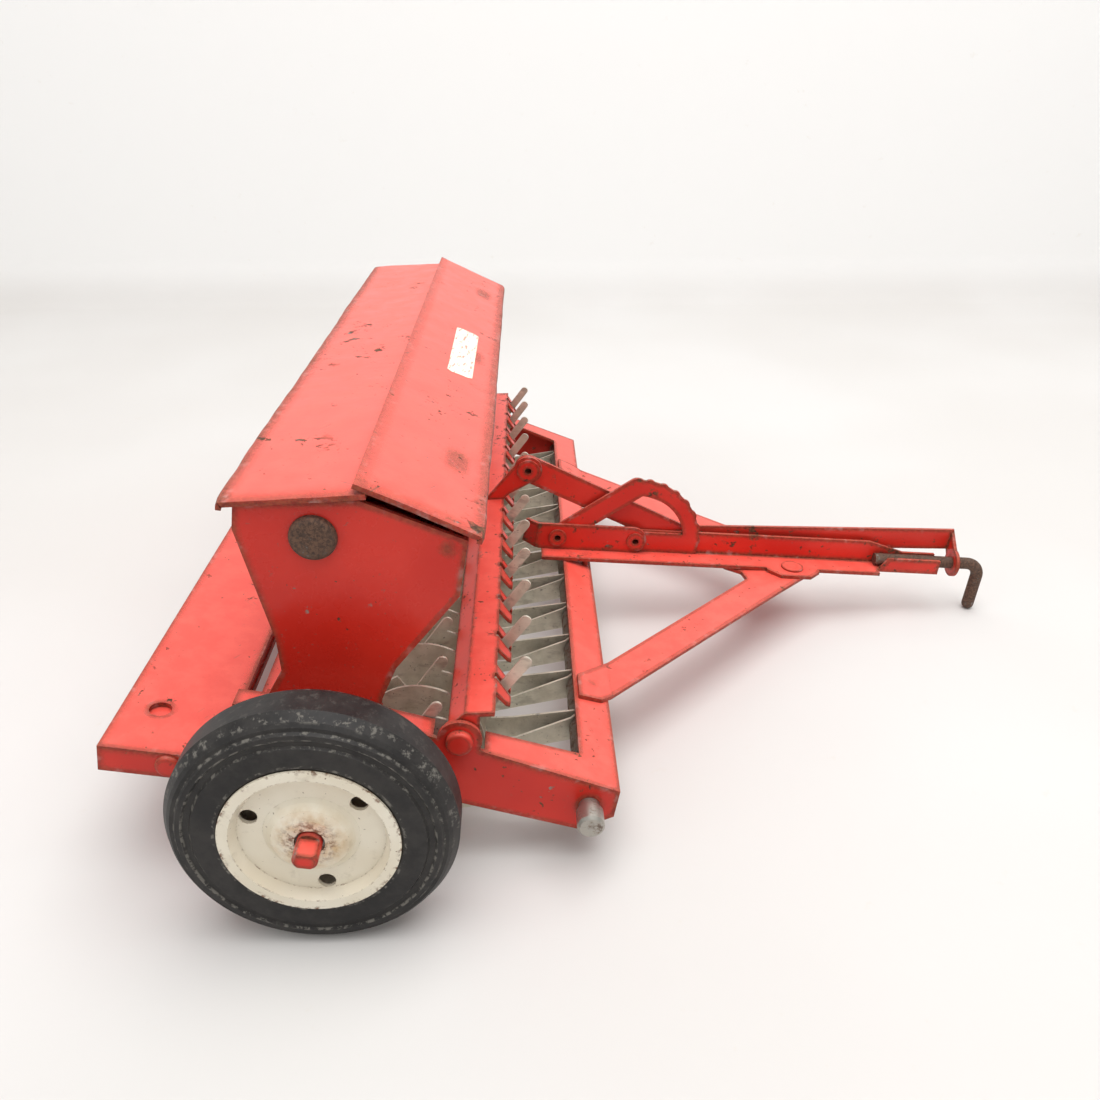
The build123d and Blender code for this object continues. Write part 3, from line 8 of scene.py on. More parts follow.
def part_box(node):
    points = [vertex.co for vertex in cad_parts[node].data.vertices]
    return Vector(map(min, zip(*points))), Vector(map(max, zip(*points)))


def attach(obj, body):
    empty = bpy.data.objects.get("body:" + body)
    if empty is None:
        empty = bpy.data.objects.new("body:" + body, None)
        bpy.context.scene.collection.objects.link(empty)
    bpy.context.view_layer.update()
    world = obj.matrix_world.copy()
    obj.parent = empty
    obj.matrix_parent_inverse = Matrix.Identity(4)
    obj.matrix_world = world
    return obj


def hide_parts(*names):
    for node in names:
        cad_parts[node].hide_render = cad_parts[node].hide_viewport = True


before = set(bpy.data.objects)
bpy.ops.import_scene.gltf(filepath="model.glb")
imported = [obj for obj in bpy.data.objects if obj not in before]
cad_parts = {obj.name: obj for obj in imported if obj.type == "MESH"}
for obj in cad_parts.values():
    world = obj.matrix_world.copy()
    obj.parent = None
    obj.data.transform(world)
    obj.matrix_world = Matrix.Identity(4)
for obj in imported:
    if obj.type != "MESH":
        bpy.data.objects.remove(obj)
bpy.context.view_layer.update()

MM = 0.001
NOSE_DOWN = math.radians(10.0)
SIDES = ("right", "left")

# The axle's middle is the origin of the level machine, in which most places are given.
axle_low, axle_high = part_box("axle")
AXLE = (axle_low + axle_high) / 2
TO_ROW = Matrix.Translation(AXLE) @ Matrix.Rotation(NOSE_DOWN, 4, "Y") @ Matrix.Scale(MM, 4)


# ---------------------------------------------------------------- materials

CORNER_SAMPLES = 4
FLAT_DOT = 0.995
SHARP_DOT = 0.86
OPEN_AIR = 0.85
DEEP_CORNER = 0.25


class Nodes:
    """A short way to write one material's node tree, whose places are in millimetres from the axle."""

    def __init__(self, name):
        self.material = bpy.data.materials.new(name)
        self.material.use_nodes = True
        self.tree = self.material.node_tree
        self.tree.nodes.clear()
        self.out = self.add("ShaderNodeOutputMaterial")
        coords = self.add("ShaderNodeTexCoord")
        place = self.add("ShaderNodeMapping")
        place.inputs["Scale"].default_value = (1 / MM, 1 / MM, 1 / MM)
        place.inputs["Location"].default_value = [-v / MM for v in AXLE]
        self.link(coords.outputs["Object"], place.inputs["Vector"])
        self.mm = place.outputs["Vector"]

    def add(self, kind, **settings):
        node = self.tree.nodes.new(kind)
        for key, value in settings.items():
            setattr(node, key, value)
        return node

    def link(self, source, target):
        self.tree.links.new(source, target)

    def feed(self, socket, value):
        """Link the socket to another one, or give it a constant."""
        if hasattr(value, "is_output"):
            self.link(value, socket)
        else:
            socket.default_value = value

    def math(self, kind, a, b=0.0, clamp=False):
        node = self.add("ShaderNodeMath", operation=kind, use_clamp=clamp)
        self.feed(node.inputs[0], a)
        self.feed(node.inputs[1], b)
        return node.outputs[0]

    def moved(self, scale, shift, turn=(0, 0, 0)):
        """The place in millimetres, turned first and then scaled and shifted."""
        source = self.mm
        if any(turn):
            turned = self.add("ShaderNodeMapping")
            turned.inputs["Rotation"].default_value = turn
            self.link(source, turned.inputs["Vector"])
            source = turned.outputs["Vector"]
        node = self.add("ShaderNodeMapping")
        node.inputs["Scale"].default_value = scale
        node.inputs["Location"].default_value = shift
        self.link(source, node.inputs["Vector"])
        return node.outputs["Vector"]

    def noise(self, size, detail, rough, shift, stretch=(1, 1, 1), turn=(0, 0, 0)):
        """Noise about 0.5 whose features are about size millimetres."""
        vector = self.moved([k / size for k in stretch], (shift, shift * 1.7, shift * 0.6), turn)
        node = self.add("ShaderNodeTexNoise")
        node.inputs["Scale"].default_value = 1.0
        node.inputs["Detail"].default_value = detail
        node.inputs["Roughness"].default_value = rough
        self.link(vector, node.inputs["Vector"])
        return node.outputs["Fac"]

    def cell_tones(self, size, shift):
        """An even tone from 0 to 1 in each cell of about size millimetres."""
        vector = self.moved([1 / size] * 3, (shift, shift, shift))
        node = self.add("ShaderNodeTexVoronoi", feature="F1")
        node.inputs["Scale"].default_value = 1.0
        self.link(vector, node.inputs["Vector"])
        split = self.add("ShaderNodeSeparateColor")
        self.link(node.outputs["Color"], split.inputs[0])
        return split.outputs[0]

    def ramp(self, value, low, high):
        """0 at low and 1 at high, with a smooth step between them; low may be the larger one."""
        node = self.add("ShaderNodeMapRange", interpolation_type="SMOOTHSTEP")
        self.feed(node.inputs["Value"], value)
        node.inputs["From Min"].default_value = low
        node.inputs["From Max"].default_value = high
        return node.outputs["Result"]

    def mix(self, share, a, b):
        """The colour a, or as much of the colour b as the share says."""
        node = self.add("ShaderNodeMix", data_type="RGBA", blend_type="MIX", clamp_factor=True)
        self.feed(node.inputs[0], share)
        for socket, value in ((node.inputs[6], a), (node.inputs[7], b)):
            if isinstance(value, tuple):
                value = (*value, 1.0)
            self.feed(socket, value)
        return node.outputs[2]

    def blend(self, share, a, b):
        """The same as mix, for plain numbers."""
        node = self.add("ShaderNodeMix", data_type="FLOAT", clamp_factor=True)
        self.feed(node.inputs[0], share)
        self.feed(node.inputs[2], a)
        self.feed(node.inputs[3], b)
        return node.outputs[0]

    def edges(self, radius):
        """About 0 on flat faces and up to 1 on sharp edges, within a radius in millimetres."""
        bevel = self.add("ShaderNodeBevel", samples=CORNER_SAMPLES)
        bevel.inputs["Radius"].default_value = radius * MM
        geometry = self.add("ShaderNodeNewGeometry")
        dot = self.add("ShaderNodeVectorMath", operation="DOT_PRODUCT")
        self.link(bevel.outputs["Normal"], dot.inputs[0])
        self.link(geometry.outputs["Normal"], dot.inputs[1])
        return self.ramp(dot.outputs["Value"], FLAT_DOT, SHARP_DOT)

    def crevice(self, distance):
        """About 1 deep in corners and 0 in the open, judged within a distance in millimetres."""
        node = self.add("ShaderNodeAmbientOcclusion", samples=CORNER_SAMPLES)
        node.inputs["Distance"].default_value = distance * MM
        return self.ramp(node.outputs["AO"], OPEN_AIR, DEEP_CORNER)

    def upward(self):
        """1 on faces that look straight up, 0 on upright ones."""
        geometry = self.add("ShaderNodeNewGeometry")
        split = self.add("ShaderNodeSeparateXYZ")
        self.link(geometry.outputs["Normal"], split.inputs[0])
        return split.outputs["Z"]

    def bump(self, height, strength, depth, normal=None):
        """A bump of a depth in millimetres, on top of an earlier one where given."""
        node = self.add("ShaderNodeBump")
        node.inputs["Strength"].default_value = strength
        node.inputs["Distance"].default_value = depth * MM
        self.feed(node.inputs["Height"], height)
        if normal is not None:
            self.link(normal, node.inputs["Normal"])
        return node.outputs["Normal"]

    def radius_about_axle(self):
        """Distance from the axle's line, in millimetres."""
        split = self.add("ShaderNodeSeparateXYZ")
        self.link(self.mm, split.inputs[0])
        square = self.math("ADD", self.math("MULTIPLY", split.outputs["X"], split.outputs["X"]),
                           self.math("MULTIPLY", split.outputs["Z"], split.outputs["Z"]))
        return self.math("SQRT", square)

    def shade(self, color, rough, normal, metal=0.0, specular=0.5, coat=0.0, coat_rough=0.1):
        """Finish the tree with its shader."""
        shader = self.add("ShaderNodeBsdfPrincipled")
        self.feed(shader.inputs["Base Color"], color)
        self.feed(shader.inputs["Roughness"], rough)
        self.feed(shader.inputs["Metallic"], metal)
        shader.inputs["Specular IOR Level"].default_value = specular
        shader.inputs["Coat Weight"].default_value = coat
        shader.inputs["Coat Roughness"].default_value = coat_rough
        self.link(normal, shader.inputs["Normal"])
        self.link(shader.outputs[0], self.out.inputs["Surface"])
        return self.material


RUST_DARK = (0.055, 0.026, 0.016)
RUST_WARM = (0.185, 0.078, 0.036)
BARE = (0.26, 0.215, 0.185)
DEEP_REDS = ((0.56, 0.020, 0.011), (0.66, 0.032, 0.018))
# Lighter reds for top faces: a painted highlight for the light from above.
TOP_HIGHLIGHT_REDS = ((0.86, 0.100, 0.072), (0.92, 0.132, 0.098))
RED_SPECK = (0.36, 0.022, 0.014)
# Dark red for painted shade in the corners.
RED_CORNER_SHADE = (0.13, 0.032, 0.020)
RED_SCRATCH = (0.30, 0.10, 0.075)
ZINCS = ((0.54, 0.51, 0.40), (0.72, 0.69, 0.56))
ZINC_SPANGLE = (0.60, 0.585, 0.51)
ZINC_STREAK = (0.24, 0.215, 0.165)
ZINC_SPOT = (0.085, 0.072, 0.055)
# Near black for painted shade in the folds.
ZINC_CORNER_SHADE = (0.10, 0.085, 0.062)
# Pale zinc for a painted highlight along the edges.
ZINC_EDGE_HIGHLIGHT = (0.66, 0.64, 0.58)
STEEL_TONE = (0.30, 0.28, 0.25)
PEENED_TONE = (0.40, 0.38, 0.34)
STEEL_RUSTS = ((0.050, 0.028, 0.020), (0.150, 0.080, 0.050))
STEEL_RUBBED = (0.36, 0.31, 0.27)
CREAMS = ((0.73, 0.66, 0.52), (0.80, 0.745, 0.62))
CREAM_SMUDGE = (0.46, 0.40, 0.30)
CREAM_STAIN = (0.56, 0.36, 0.14)
# Dark brown for painted shade in the corners.
CREAM_CORNER_SHADE = (0.22, 0.15, 0.085)
RUBBERS = ((0.016, 0.015, 0.015), (0.036, 0.033, 0.031))
RUBBER_DUST = (0.16, 0.145, 0.12)
RUBBER_SCUFF = (0.34, 0.32, 0.28)
STRIPE_CREAMS = ((0.88, 0.80, 0.62), (0.92, 0.86, 0.72))
STRIPE_RED = (0.72, 0.16, 0.11)
CLOTHS = ((0.665, 0.645, 0.625), (0.70, 0.685, 0.67))
WALL_TONE = (0.90, 0.895, 0.885)
CLOTH_STAIN = (0.62, 0.53, 0.40)


def rust_color(n, shift):
    """Dark and warm rust with bare steel in spots."""
    tone = n.noise(0.9, 4.0, 0.65, shift + 3.0)
    spot = n.noise(3.5, 3.0, 0.6, shift + 8.0)
    brown = n.mix(n.ramp(tone, 0.35, 0.66), RUST_DARK, RUST_WARM)
    return n.mix(n.ramp(spot, 0.55, 0.72), brown, BARE)


def enamel(n, broad, patch, seed):
    """The paint's colour: deep red on upright faces, lighter reds on top faces as a painted highlight,
    painted shade in the corners.
    """
    fine = n.noise(0.8, 3.0, 0.6, seed + 2.0)
    deep = n.mix(n.ramp(broad, 0.3, 0.7), *DEEP_REDS)
    top_highlight = n.mix(n.ramp(patch, 0.35, 0.7), *TOP_HIGHLIGHT_REDS)
    # Top faces turn to the lighter reds: a painted highlight for the light from above.
    paint = n.mix(n.ramp(n.upward(), 0.25, 0.9), deep, top_highlight)
    paint = n.mix(n.math("MULTIPLY", n.ramp(fine, 0.6, 0.78), 0.18), paint, RED_SPECK)
    # Painted shade in the corners, from the ambient occlusion, broken up by the patch noise.
    corner_shade = n.math("MULTIPLY", n.crevice(3.5), n.ramp(patch, 0.28, 0.62))
    return n.mix(n.math("MULTIPLY", corner_shade, 0.6), paint, RED_CORNER_SHADE)


def edge_wear(n, edge, wear, grain, patch):
    """Bare metal along the edges, broken up by two sizes of noise."""
    rim = n.edges(edge)
    ragged = n.math("ADD", n.math("MULTIPLY", grain, 0.55), n.math("MULTIPLY", patch, 0.75))
    torn = n.math("ADD", rim, n.math("MULTIPLY", n.math("SUBTRACT", ragged, 0.65), 1.8))
    shift = 0.46 * wear
    return n.math("MULTIPLY", n.ramp(torn, 0.62 - shift, 0.72 - shift), n.ramp(rim, 0.01, 0.06))


def face_chips(n, chips, seed):
    """Small chips in the open face, in loose groups, and a few larger lone ones."""
    group = n.noise(17.0, 3.0, 0.6, seed + 11.0)
    speck = n.noise(1.15, 2.0, 0.5, seed + 13.0)
    specks = n.ramp(speck, 0.735 - 0.05 * chips, 0.755 - 0.05 * chips)
    specks = n.math("MULTIPLY", specks, n.ramp(group, 0.5, 0.6))
    lone = n.noise(2.6, 3.0, 0.7, seed + 17.0)
    lone = n.ramp(lone, 0.735 - 0.03 * chips, 0.75 - 0.03 * chips)
    return n.math("MAXIMUM", specks, n.math("MULTIPLY", lone, chips * 1.3, clamp=True))


def scratch_marks(n, seed):
    """Thin scratches in two directions."""
    marks = 0.0
    for turn, shift in ((0.5, 20.0), (-0.9, 27.0)):
        line = n.noise(0.55, 1.0, 0.4, seed + shift, (1.0, 0.05, 0.7), (0, 0, turn))
        where = n.ramp(n.noise(9.0, 2.0, 0.5, seed + shift + 2.0), 0.52, 0.64)
        marks = n.math("MAXIMUM", marks, n.math("MULTIPLY", n.ramp(line, 0.715, 0.745), where))
    return marks


def worn_patches(n, grain, size, low, shift):
    """Ragged bare patches in the open face, in loose groups."""
    ragged = n.math("MULTIPLY", n.noise(size, 5.0, 0.72, shift), 0.8)
    field = n.math("ADD", ragged, n.math("MULTIPLY", grain, 0.2))
    group = n.ramp(n.noise(5.0 * size, 2.0, 0.5, shift + 3.0), 0.50, 0.58)
    return n.math("MULTIPLY", n.ramp(field, low, low + 0.02), group)


def red_paint(name, wear, edge, chips, scratches, seed, patches, gloss=0.3):
    """Red enamel on steel: a painted highlight on top faces, chipped at edges and corners, scratched, with
    painted shade in the corners.

    edge is the reach of the edge wear in millimetres; patches holds the size, the threshold and the
    shift of the worn patches.
    """
    n = Nodes(name)
    broad = n.noise(26.0, 2.0, 0.5, seed)
    patch = n.noise(5.5, 4.0, 0.62, seed + 4.0)
    grain = n.noise(1.6, 4.0, 0.68, seed + 6.0)
    paint = enamel(n, broad, patch, seed)
    bare = n.math("MAXIMUM", edge_wear(n, edge, wear, grain, patch), face_chips(n, chips, seed))
    bare = n.math("MAXIMUM", bare, worn_patches(n, grain, *patches))
    marks = n.math("MULTIPLY", scratch_marks(n, seed), scratches)
    color = n.mix(n.math("MULTIPLY", marks, 0.75), paint, RED_SCRATCH)
    color = n.mix(bare, color, rust_color(n, seed))
    rough = n.blend(bare, n.blend(n.ramp(patch, 0.3, 0.75), gloss, gloss + 0.14), 0.78)
    height = n.math("SUBTRACT", n.math("SUBTRACT", 1.0, bare), n.math("MULTIPLY", marks, 0.5))
    normal = n.bump(height, 0.55, 0.12)
    normal = n.bump(n.noise(9.0, 2.0, 0.5, seed + 31.0), 0.35, 0.35, normal)
    normal = n.bump(n.noise(0.7, 2.0, 0.5, seed + 33.0), 0.12, 0.05, normal)
    normal = n.bump(grain, 0.12, 0.10, normal)
    return n.shade(color, rough, normal, 0.0, 0.30, 0.06, 0.16)


def galvanised(name):
    """Dull zinc on sheet: faint spangle, dark spots, painted shade in the folds and a painted highlight along
    the edges.
    """
    n = Nodes(name)
    spangle = n.cell_tones(3.2, 0.0)
    patch = n.noise(4.5, 4.0, 0.65, 1.0)
    fine = n.noise(0.7, 3.0, 0.7, 5.0)
    streak = n.noise(2.2, 3.0, 0.6, 8.0, (0.35, 2.0, 1.0))
    base = n.mix(n.ramp(patch, 0.3, 0.7), *ZINCS)
    base = n.mix(n.math("MULTIPLY", spangle, 0.22), base, ZINC_SPANGLE)
    base = n.mix(n.math("MULTIPLY", n.ramp(streak, 0.52, 0.7), 0.45), base, ZINC_STREAK)
    spots = n.ramp(n.noise(2.4, 4.0, 0.72, 12.0), 0.62, 0.70)
    specks = n.ramp(n.noise(0.65, 2.0, 0.5, 15.0), 0.69, 0.73)
    dark = n.math("MAXIMUM", n.math("MULTIPLY", spots, 0.62), n.math("MULTIPLY", specks, 0.7))
    base = n.mix(dark, base, ZINC_SPOT)
    # Painted shade in the folds and creases, from the ambient occlusion.
    corner_shade = n.math("MULTIPLY", n.crevice(5.0), 0.7)
    base = n.mix(corner_shade, base, ZINC_CORNER_SHADE)
    # A painted highlight along the edges, broken up by fine noise.
    rim = n.math("MULTIPLY", n.edges(0.45), n.ramp(fine, 0.35, 0.6))
    base = n.mix(n.math("MULTIPLY", rim, 0.75), base, ZINC_EDGE_HIGHLIGHT)
    rough = n.blend(dark, n.blend(patch, 0.36, 0.56), 0.72)
    normal = n.bump(fine, 0.15, 0.06)
    normal = n.bump(patch, 0.25, 0.16, normal)
    metal = n.blend(n.math("MAXIMUM", dark, corner_shade), 0.35, 0.1)
    return n.shade(base, rough, normal, metal)


def steel(name, brown, seed, tone=STEEL_TONE):
    """Bare steel gone brown, with a rubbed shine on its edges."""
    n = Nodes(name)
    patch = n.noise(3.2, 4.0, 0.65, seed + 1.0)
    fine = n.noise(0.6, 3.0, 0.7, seed + 4.0)
    cover = n.ramp(n.math("ADD", n.math("MULTIPLY", patch, 0.6), n.math("MULTIPLY", fine, 0.4)),
                   0.62 - 0.4 * brown, 0.80 - 0.4 * brown)
    rust = n.mix(n.ramp(fine, 0.35, 0.65), *STEEL_RUSTS)
    rim = n.math("MULTIPLY", n.edges(0.4), n.ramp(fine, 0.4, 0.6))
    color = n.mix(cover, tone, rust)
    color = n.mix(n.math("MULTIPLY", rim, 0.4), color, STEEL_RUBBED)
    rough = n.blend(cover, 0.36, 0.74)
    metal = n.blend(cover, 0.85, 0.15)
    normal = n.bump(fine, 0.35, 0.08)
    normal = n.bump(patch, 0.2, 0.15, normal)
    return n.shade(color, rough, normal, metal)


# Distances from the axle between which a wheel's stain and rust start and are full.
HUB_STAIN_R = (9.6, 3.5)
HUB_RUST_R = (6.8, 2.6)
RIM_RUST_R = (15.9, 16.9)


def cream_paint(name):
    """Cream enamel on the pressed wheels: rust round the hub boss, chips at the rim, grey smudges, painted
    shade in the corners.
    """
    n = Nodes(name)
    radius = n.radius_about_axle()
    patch = n.noise(4.2, 4.0, 0.65, 0.0)
    fine = n.noise(0.9, 4.0, 0.7, 3.0)
    base = n.mix(n.ramp(n.noise(12.0, 2.0, 0.5, 7.0), 0.3, 0.7), *CREAMS)
    smudge = n.math("MULTIPLY", n.ramp(patch, 0.56, 0.74), 0.4)
    base = n.mix(smudge, base, CREAM_SMUDGE)
    stain = n.math("MULTIPLY", n.ramp(radius, *HUB_STAIN_R), n.ramp(patch, 0.30, 0.66))
    base = n.mix(n.math("MULTIPLY", stain, 0.85), base, CREAM_STAIN)
    hub = n.math("MULTIPLY", n.ramp(radius, *HUB_RUST_R), n.ramp(fine, 0.44, 0.62))
    ring = n.math("MULTIPLY", n.ramp(radius, *RIM_RUST_R), n.ramp(n.math("ADD", fine, patch), 1.03, 1.22))
    speck = n.math("MULTIPLY", n.ramp(n.noise(0.8, 3.0, 0.6, 9.0), 0.70, 0.73), 0.9)
    rim = n.math("MULTIPLY", n.edges(0.45), n.ramp(fine, 0.50, 0.62))
    bare = n.math("MAXIMUM", n.math("MAXIMUM", hub, ring), n.math("MAXIMUM", speck, rim))
    color = n.mix(bare, base, rust_color(n, 0.0))
    # Painted shade in the corners, from the ambient occlusion.
    corner_shade = n.math("MULTIPLY", n.crevice(2.5), 0.45)
    color = n.mix(corner_shade, color, CREAM_CORNER_SHADE)
    rough = n.blend(bare, n.blend(patch, 0.30, 0.48), 0.8)
    normal = n.bump(n.math("SUBTRACT", 1.0, bare), 0.5, 0.10)
    normal = n.bump(patch, 0.22, 0.22, normal)
    return n.shade(color, rough, normal, 0.0, 0.5, 0.15, 0.2)


# Rings of scuffs on a tyre: distance from the axle, half width, and the threshold of their noise.
SCUFF_RINGS = ((23.3, 0.35, 0.47), (24.7, 0.3, 0.50), (26.8, 0.9, 0.53), (21.8, 0.3, 0.52), (17.6, 0.4, 0.50))


def rubber(name):
    """Aged rubber: grey bloom, pale scuffs round the shoulders and fine dust in the ribs."""
    n = Nodes(name)
    radius = n.radius_about_axle()
    patch = n.noise(6.0, 4.0, 0.65, 0.0)
    fine = n.noise(0.7, 4.0, 0.7, 3.0)
    base = n.mix(n.ramp(patch, 0.3, 0.7), *RUBBERS)
    dust = n.math("MULTIPLY", n.crevice(1.6), 0.35)
    base = n.mix(dust, base, RUBBER_DUST)
    scuffs = 0.0
    for at, half, low in SCUFF_RINGS:
        away = n.math("ABSOLUTE", n.math("SUBTRACT", radius, at))
        broken = n.ramp(n.noise(1.8, 5.0, 0.75, at), low, low + 0.10)
        scuff = n.math("MULTIPLY", n.ramp(away, half, half * 0.3), broken)
        scuffs = n.math("MAXIMUM", scuffs, scuff)
    rubbed = n.math("MULTIPLY", n.edges(0.5), n.ramp(fine, 0.5, 0.7))
    scuffs = n.math("MAXIMUM", scuffs, n.math("MULTIPLY", rubbed, 0.5))
    color = n.mix(n.math("MULTIPLY", scuffs, 0.42), base, RUBBER_SCUFF)
    rough = n.blend(scuffs, n.blend(patch, 0.42, 0.58), 0.85)
    normal = n.bump(fine, 0.18, 0.06)
    normal = n.bump(n.noise(2.5, 3.0, 0.6, 5.0), 0.15, 0.15, normal)
    return n.shade(color, rough, normal, 0.0, 0.25)


def worn_stripe(name):
    """A blank cream transfer with fine worn lines, the red paint showing through."""
    n = Nodes(name)
    line = n.noise(0.6, 2.0, 0.5, 3.0, (1.0, 0.12, 0.6), (0, 0, 0.12))
    patch = n.noise(3.5, 4.0, 0.7, 8.0)
    gone = n.math("MAXIMUM", n.ramp(line, 0.60, 0.64), n.ramp(patch, 0.62, 0.68))
    color = n.mix(n.ramp(patch, 0.3, 0.6), *STRIPE_CREAMS)
    color = n.mix(n.math("MULTIPLY", gone, 0.8), color, STRIPE_RED)
    return n.shade(color, 0.45, n.bump(patch, 0.1, 0.05))


# Heights from the axle between which the floor turns into the wall.
WALL_FROM_Z = (-25.0, 5.0)


def floor_cloth(name):
    """The pale, faintly stained sheet on which the drill stands, lighter where it is the wall."""
    n = Nodes(name)
    broad = n.noise(160.0, 2.0, 0.5, 1.0)
    fine = n.noise(0.9, 3.0, 0.6, 4.0)
    base = n.mix(n.ramp(broad, 0.35, 0.7), *CLOTHS)
    split = n.add("ShaderNodeSeparateXYZ")
    n.link(n.mm, split.inputs[0])
    base = n.mix(n.ramp(split.outputs["Z"], *WALL_FROM_Z), base, WALL_TONE)
    stain = n.math("MULTIPLY", n.ramp(n.noise(7.0, 3.0, 0.65, 9.0), 0.68, 0.76), 0.10)
    base = n.mix(stain, base, CLOTH_STAIN)
    return n.shade(base, 0.9, n.bump(fine, 0.08, 0.1), 0.0, 0.15)


red_sheet = red_paint("red_sheet", 0.62, 2.4, 0.6, 0.4, 0.0, (4.0, 0.60, 7.0))
red_roof = red_paint("red_roof", 1.0, 4.5, 1.0, 0.9, 40.0, (6.0, 0.575, 51.0))
red_end = red_paint("red_hopper_end", 0.66, 2.4, 0.5, 0.6, 80.0, (3.5, 0.62, 88.0), gloss=0.2)
red_tongue = red_paint("red_tongue", 0.9, 2.2, 1.2, 0.3, 120.0, (4.0, 0.57, 131.0))
red_small = red_paint("red_small_parts", 0.85, 1.5, 0.9, 0.2, 160.0, (2.5, 0.58, 170.0))
zinc = galvanised("galvanised_sheet")
brown_steel = steel("brown_steel", 0.9, 3.0)
dull_steel = steel("dull_steel", 0.45, 9.0)
stub_steel = steel("peened_steel", 0.3, 14.0, PEENED_TONE)
cream = cream_paint("cream_enamel")
tyre_rubber = rubber("aged_rubber")
stripe_paint = worn_stripe("worn_stripe")

LOOKS = {
    "main_frame": red_sheet, "rear_footboard": red_sheet, "footboard_rivets": red_small,
    "hopper_trough": red_end, "hopper_end_right": red_end, "hopper_end_left": red_end,
    "hopper_end_rivets": brown_steel, "hopper_foot_rivets": red_small,
    "hopper_rear_panel": red_roof, "hopper_lid": red_roof, "lid_hinge_rod": red_end,
    "axle": red_small, "axle_spacers": red_small, "opener_rod": stub_steel, "opener_spacers": dull_steel,
    "tongue": red_tongue, "tongue_rivets": red_small, "tongue_strap": red_tongue,
    "tongue_eyelets": red_small, "quadrant": red_tongue, "v_brace": red_sheet, "brace_rivets": red_small,
    "rockshaft_pins": red_small, "rockshaft": red_small, "rockshaft_crank": red_small,
    "crank_rivet": red_small, "link_arm": red_tongue, "pull_bar": red_tongue, "link_pin": brown_steel,
    "hitch_rod": brown_steel,
}
for side in SIDES:
    LOOKS[f"tyre_{side}"] = tyre_rubber
    LOOKS[f"rim_outer_{side}"] = cream
    LOOKS[f"rim_inner_{side}"] = cream
    LOOKS[f"hub_bush_{side}"] = dull_steel
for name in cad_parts:
    if name.startswith("opener_") and name[-2:].isdigit():
        LOOKS[name] = zinc


def set_look(piece, material):
    piece.data.materials.clear()
    piece.data.materials.append(material)


SOFT_ANGLE = math.radians(35)


def soften(piece, width):
    """Round a pressed part's sharp folds and cut edges by a width in millimetres."""
    bevel = piece.modifiers.new("folds", "BEVEL")
    bevel.width = width * MM
    bevel.segments = 2
    bevel.limit_method = "ANGLE"
    bevel.angle_limit = SOFT_ANGLE
    bevel.harden_normals = False


SOFT_EDGES = {
    "main_frame": 0.45, "rear_footboard": 0.45, "quadrant": 0.25,
    "tongue": 0.3, "tongue_strap": 0.3, "pull_bar": 0.3, "link_arm": 0.3, "v_brace": 0.3,
    "rockshaft": 0.3, "rockshaft_crank": 0.3,
    "hopper_end_right": 0.3, "hopper_end_left": 0.3, "hopper_trough": 0.3,
}
for name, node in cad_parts.items():
    set_look(node, LOOKS[name])
    if name in SOFT_EDGES:
        soften(node, SOFT_EDGES[name])


# ---------------------------------------------------------------- new pieces

# Places in the level machine, in millimetres; pairs are (x, z).
ROOF_HALF = 102.6
RIDGE = (1.8, 62.12)
ROOF_REAR = (-24.1, 56.3)
LID_REAR = (-0.2, 63.88)
LID_FRONT = (23.9, 57.0)
SHEET = 1.0
LIP = 1.8
HINGE = (17.6, 52.6)
HINGE_BORE = 0.86
KNUCKLE_R = 1.66
KNUCKLE_HALF = 4.5
KNUCKLE_AT = (-75.0, 0.0, 75.0)
LEAF = 0.7
LEAF_SUNK = 0.2
LID_SLOPE = (LID_REAR[1] - LID_FRONT[1]) / (LID_FRONT[0] - LID_REAR[0])
REAR_SEED = 3.0
LID_SEED = 7.0
DENT_DEPTH = 0.45
FOLD_R = 1.0
FOLD_STEPS = 4
LINE_STEP = 1.6
SHEET_COLUMNS = 84
END_DROOP = 0.5
END_FROM = 0.97
END_SPAN = 0.03
ROUND_STEPS = 28
ROOF_EDGE = 0.25


def finish_piece(mesh, name, body, material, replaced, edge):
    """Turn a level-machine mesh into a piece that rides on a body; an edge of 0 stays sharp."""
    bmesh.ops.recalc_face_normals(mesh, faces=mesh.faces)
    data = bpy.data.meshes.new(name)
    mesh.to_mesh(data)
    mesh.free()
    data.transform(TO_ROW)
    data.polygons.foreach_set("use_smooth", [True] * len(data.polygons))
    piece = bpy.data.objects.new(name, data)
    bpy.context.scene.collection.objects.link(piece)
    data.materials.append(material)
    if edge:
        soften(piece, edge)
    smooth = piece.modifiers.new("smooth", "WEIGHTED_NORMAL")
    smooth.keep_sharp = True
    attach(piece, body)
    for node in replaced:
        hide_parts(node)
    return piece


def rounded_line(points, radius, step):
    """Points along a bent line, its corners rounded and the rest spaced by about a step."""
    line = [Vector(points[0])]
    for before, corner, after in zip(points, points[1:], points[2:]):
        corner = Vector(corner)
        start = corner + (Vector(before) - corner).normalized() * radius
        end = corner + (Vector(after) - corner).normalized() * radius
        for k in range(FOLD_STEPS + 1):
            t = k / FOLD_STEPS
            line.append(start * (1 - t) ** 2 + corner * 2 * t * (1 - t) + end * t ** 2)
    line.append(Vector(points[-1]))
    full = []
    for a, b in zip(line, line[1:]):
        count = max(1, round((b - a).length / step))
        full += [a.lerp(b, k / count) for k in range(count)]
    return full + [line[-1]]


def dent(x, y, seed):
    """How far an old sheet stands off its true face: broad hollows and small dings."""
    broad = noise.noise(Vector((x * 0.05, y * 0.022, seed)))
    small = noise.noise(Vector((x * 0.17, y * 0.12, seed + 9.0)))
    return DENT_DEPTH * (0.8 * broad + 0.35 * small)


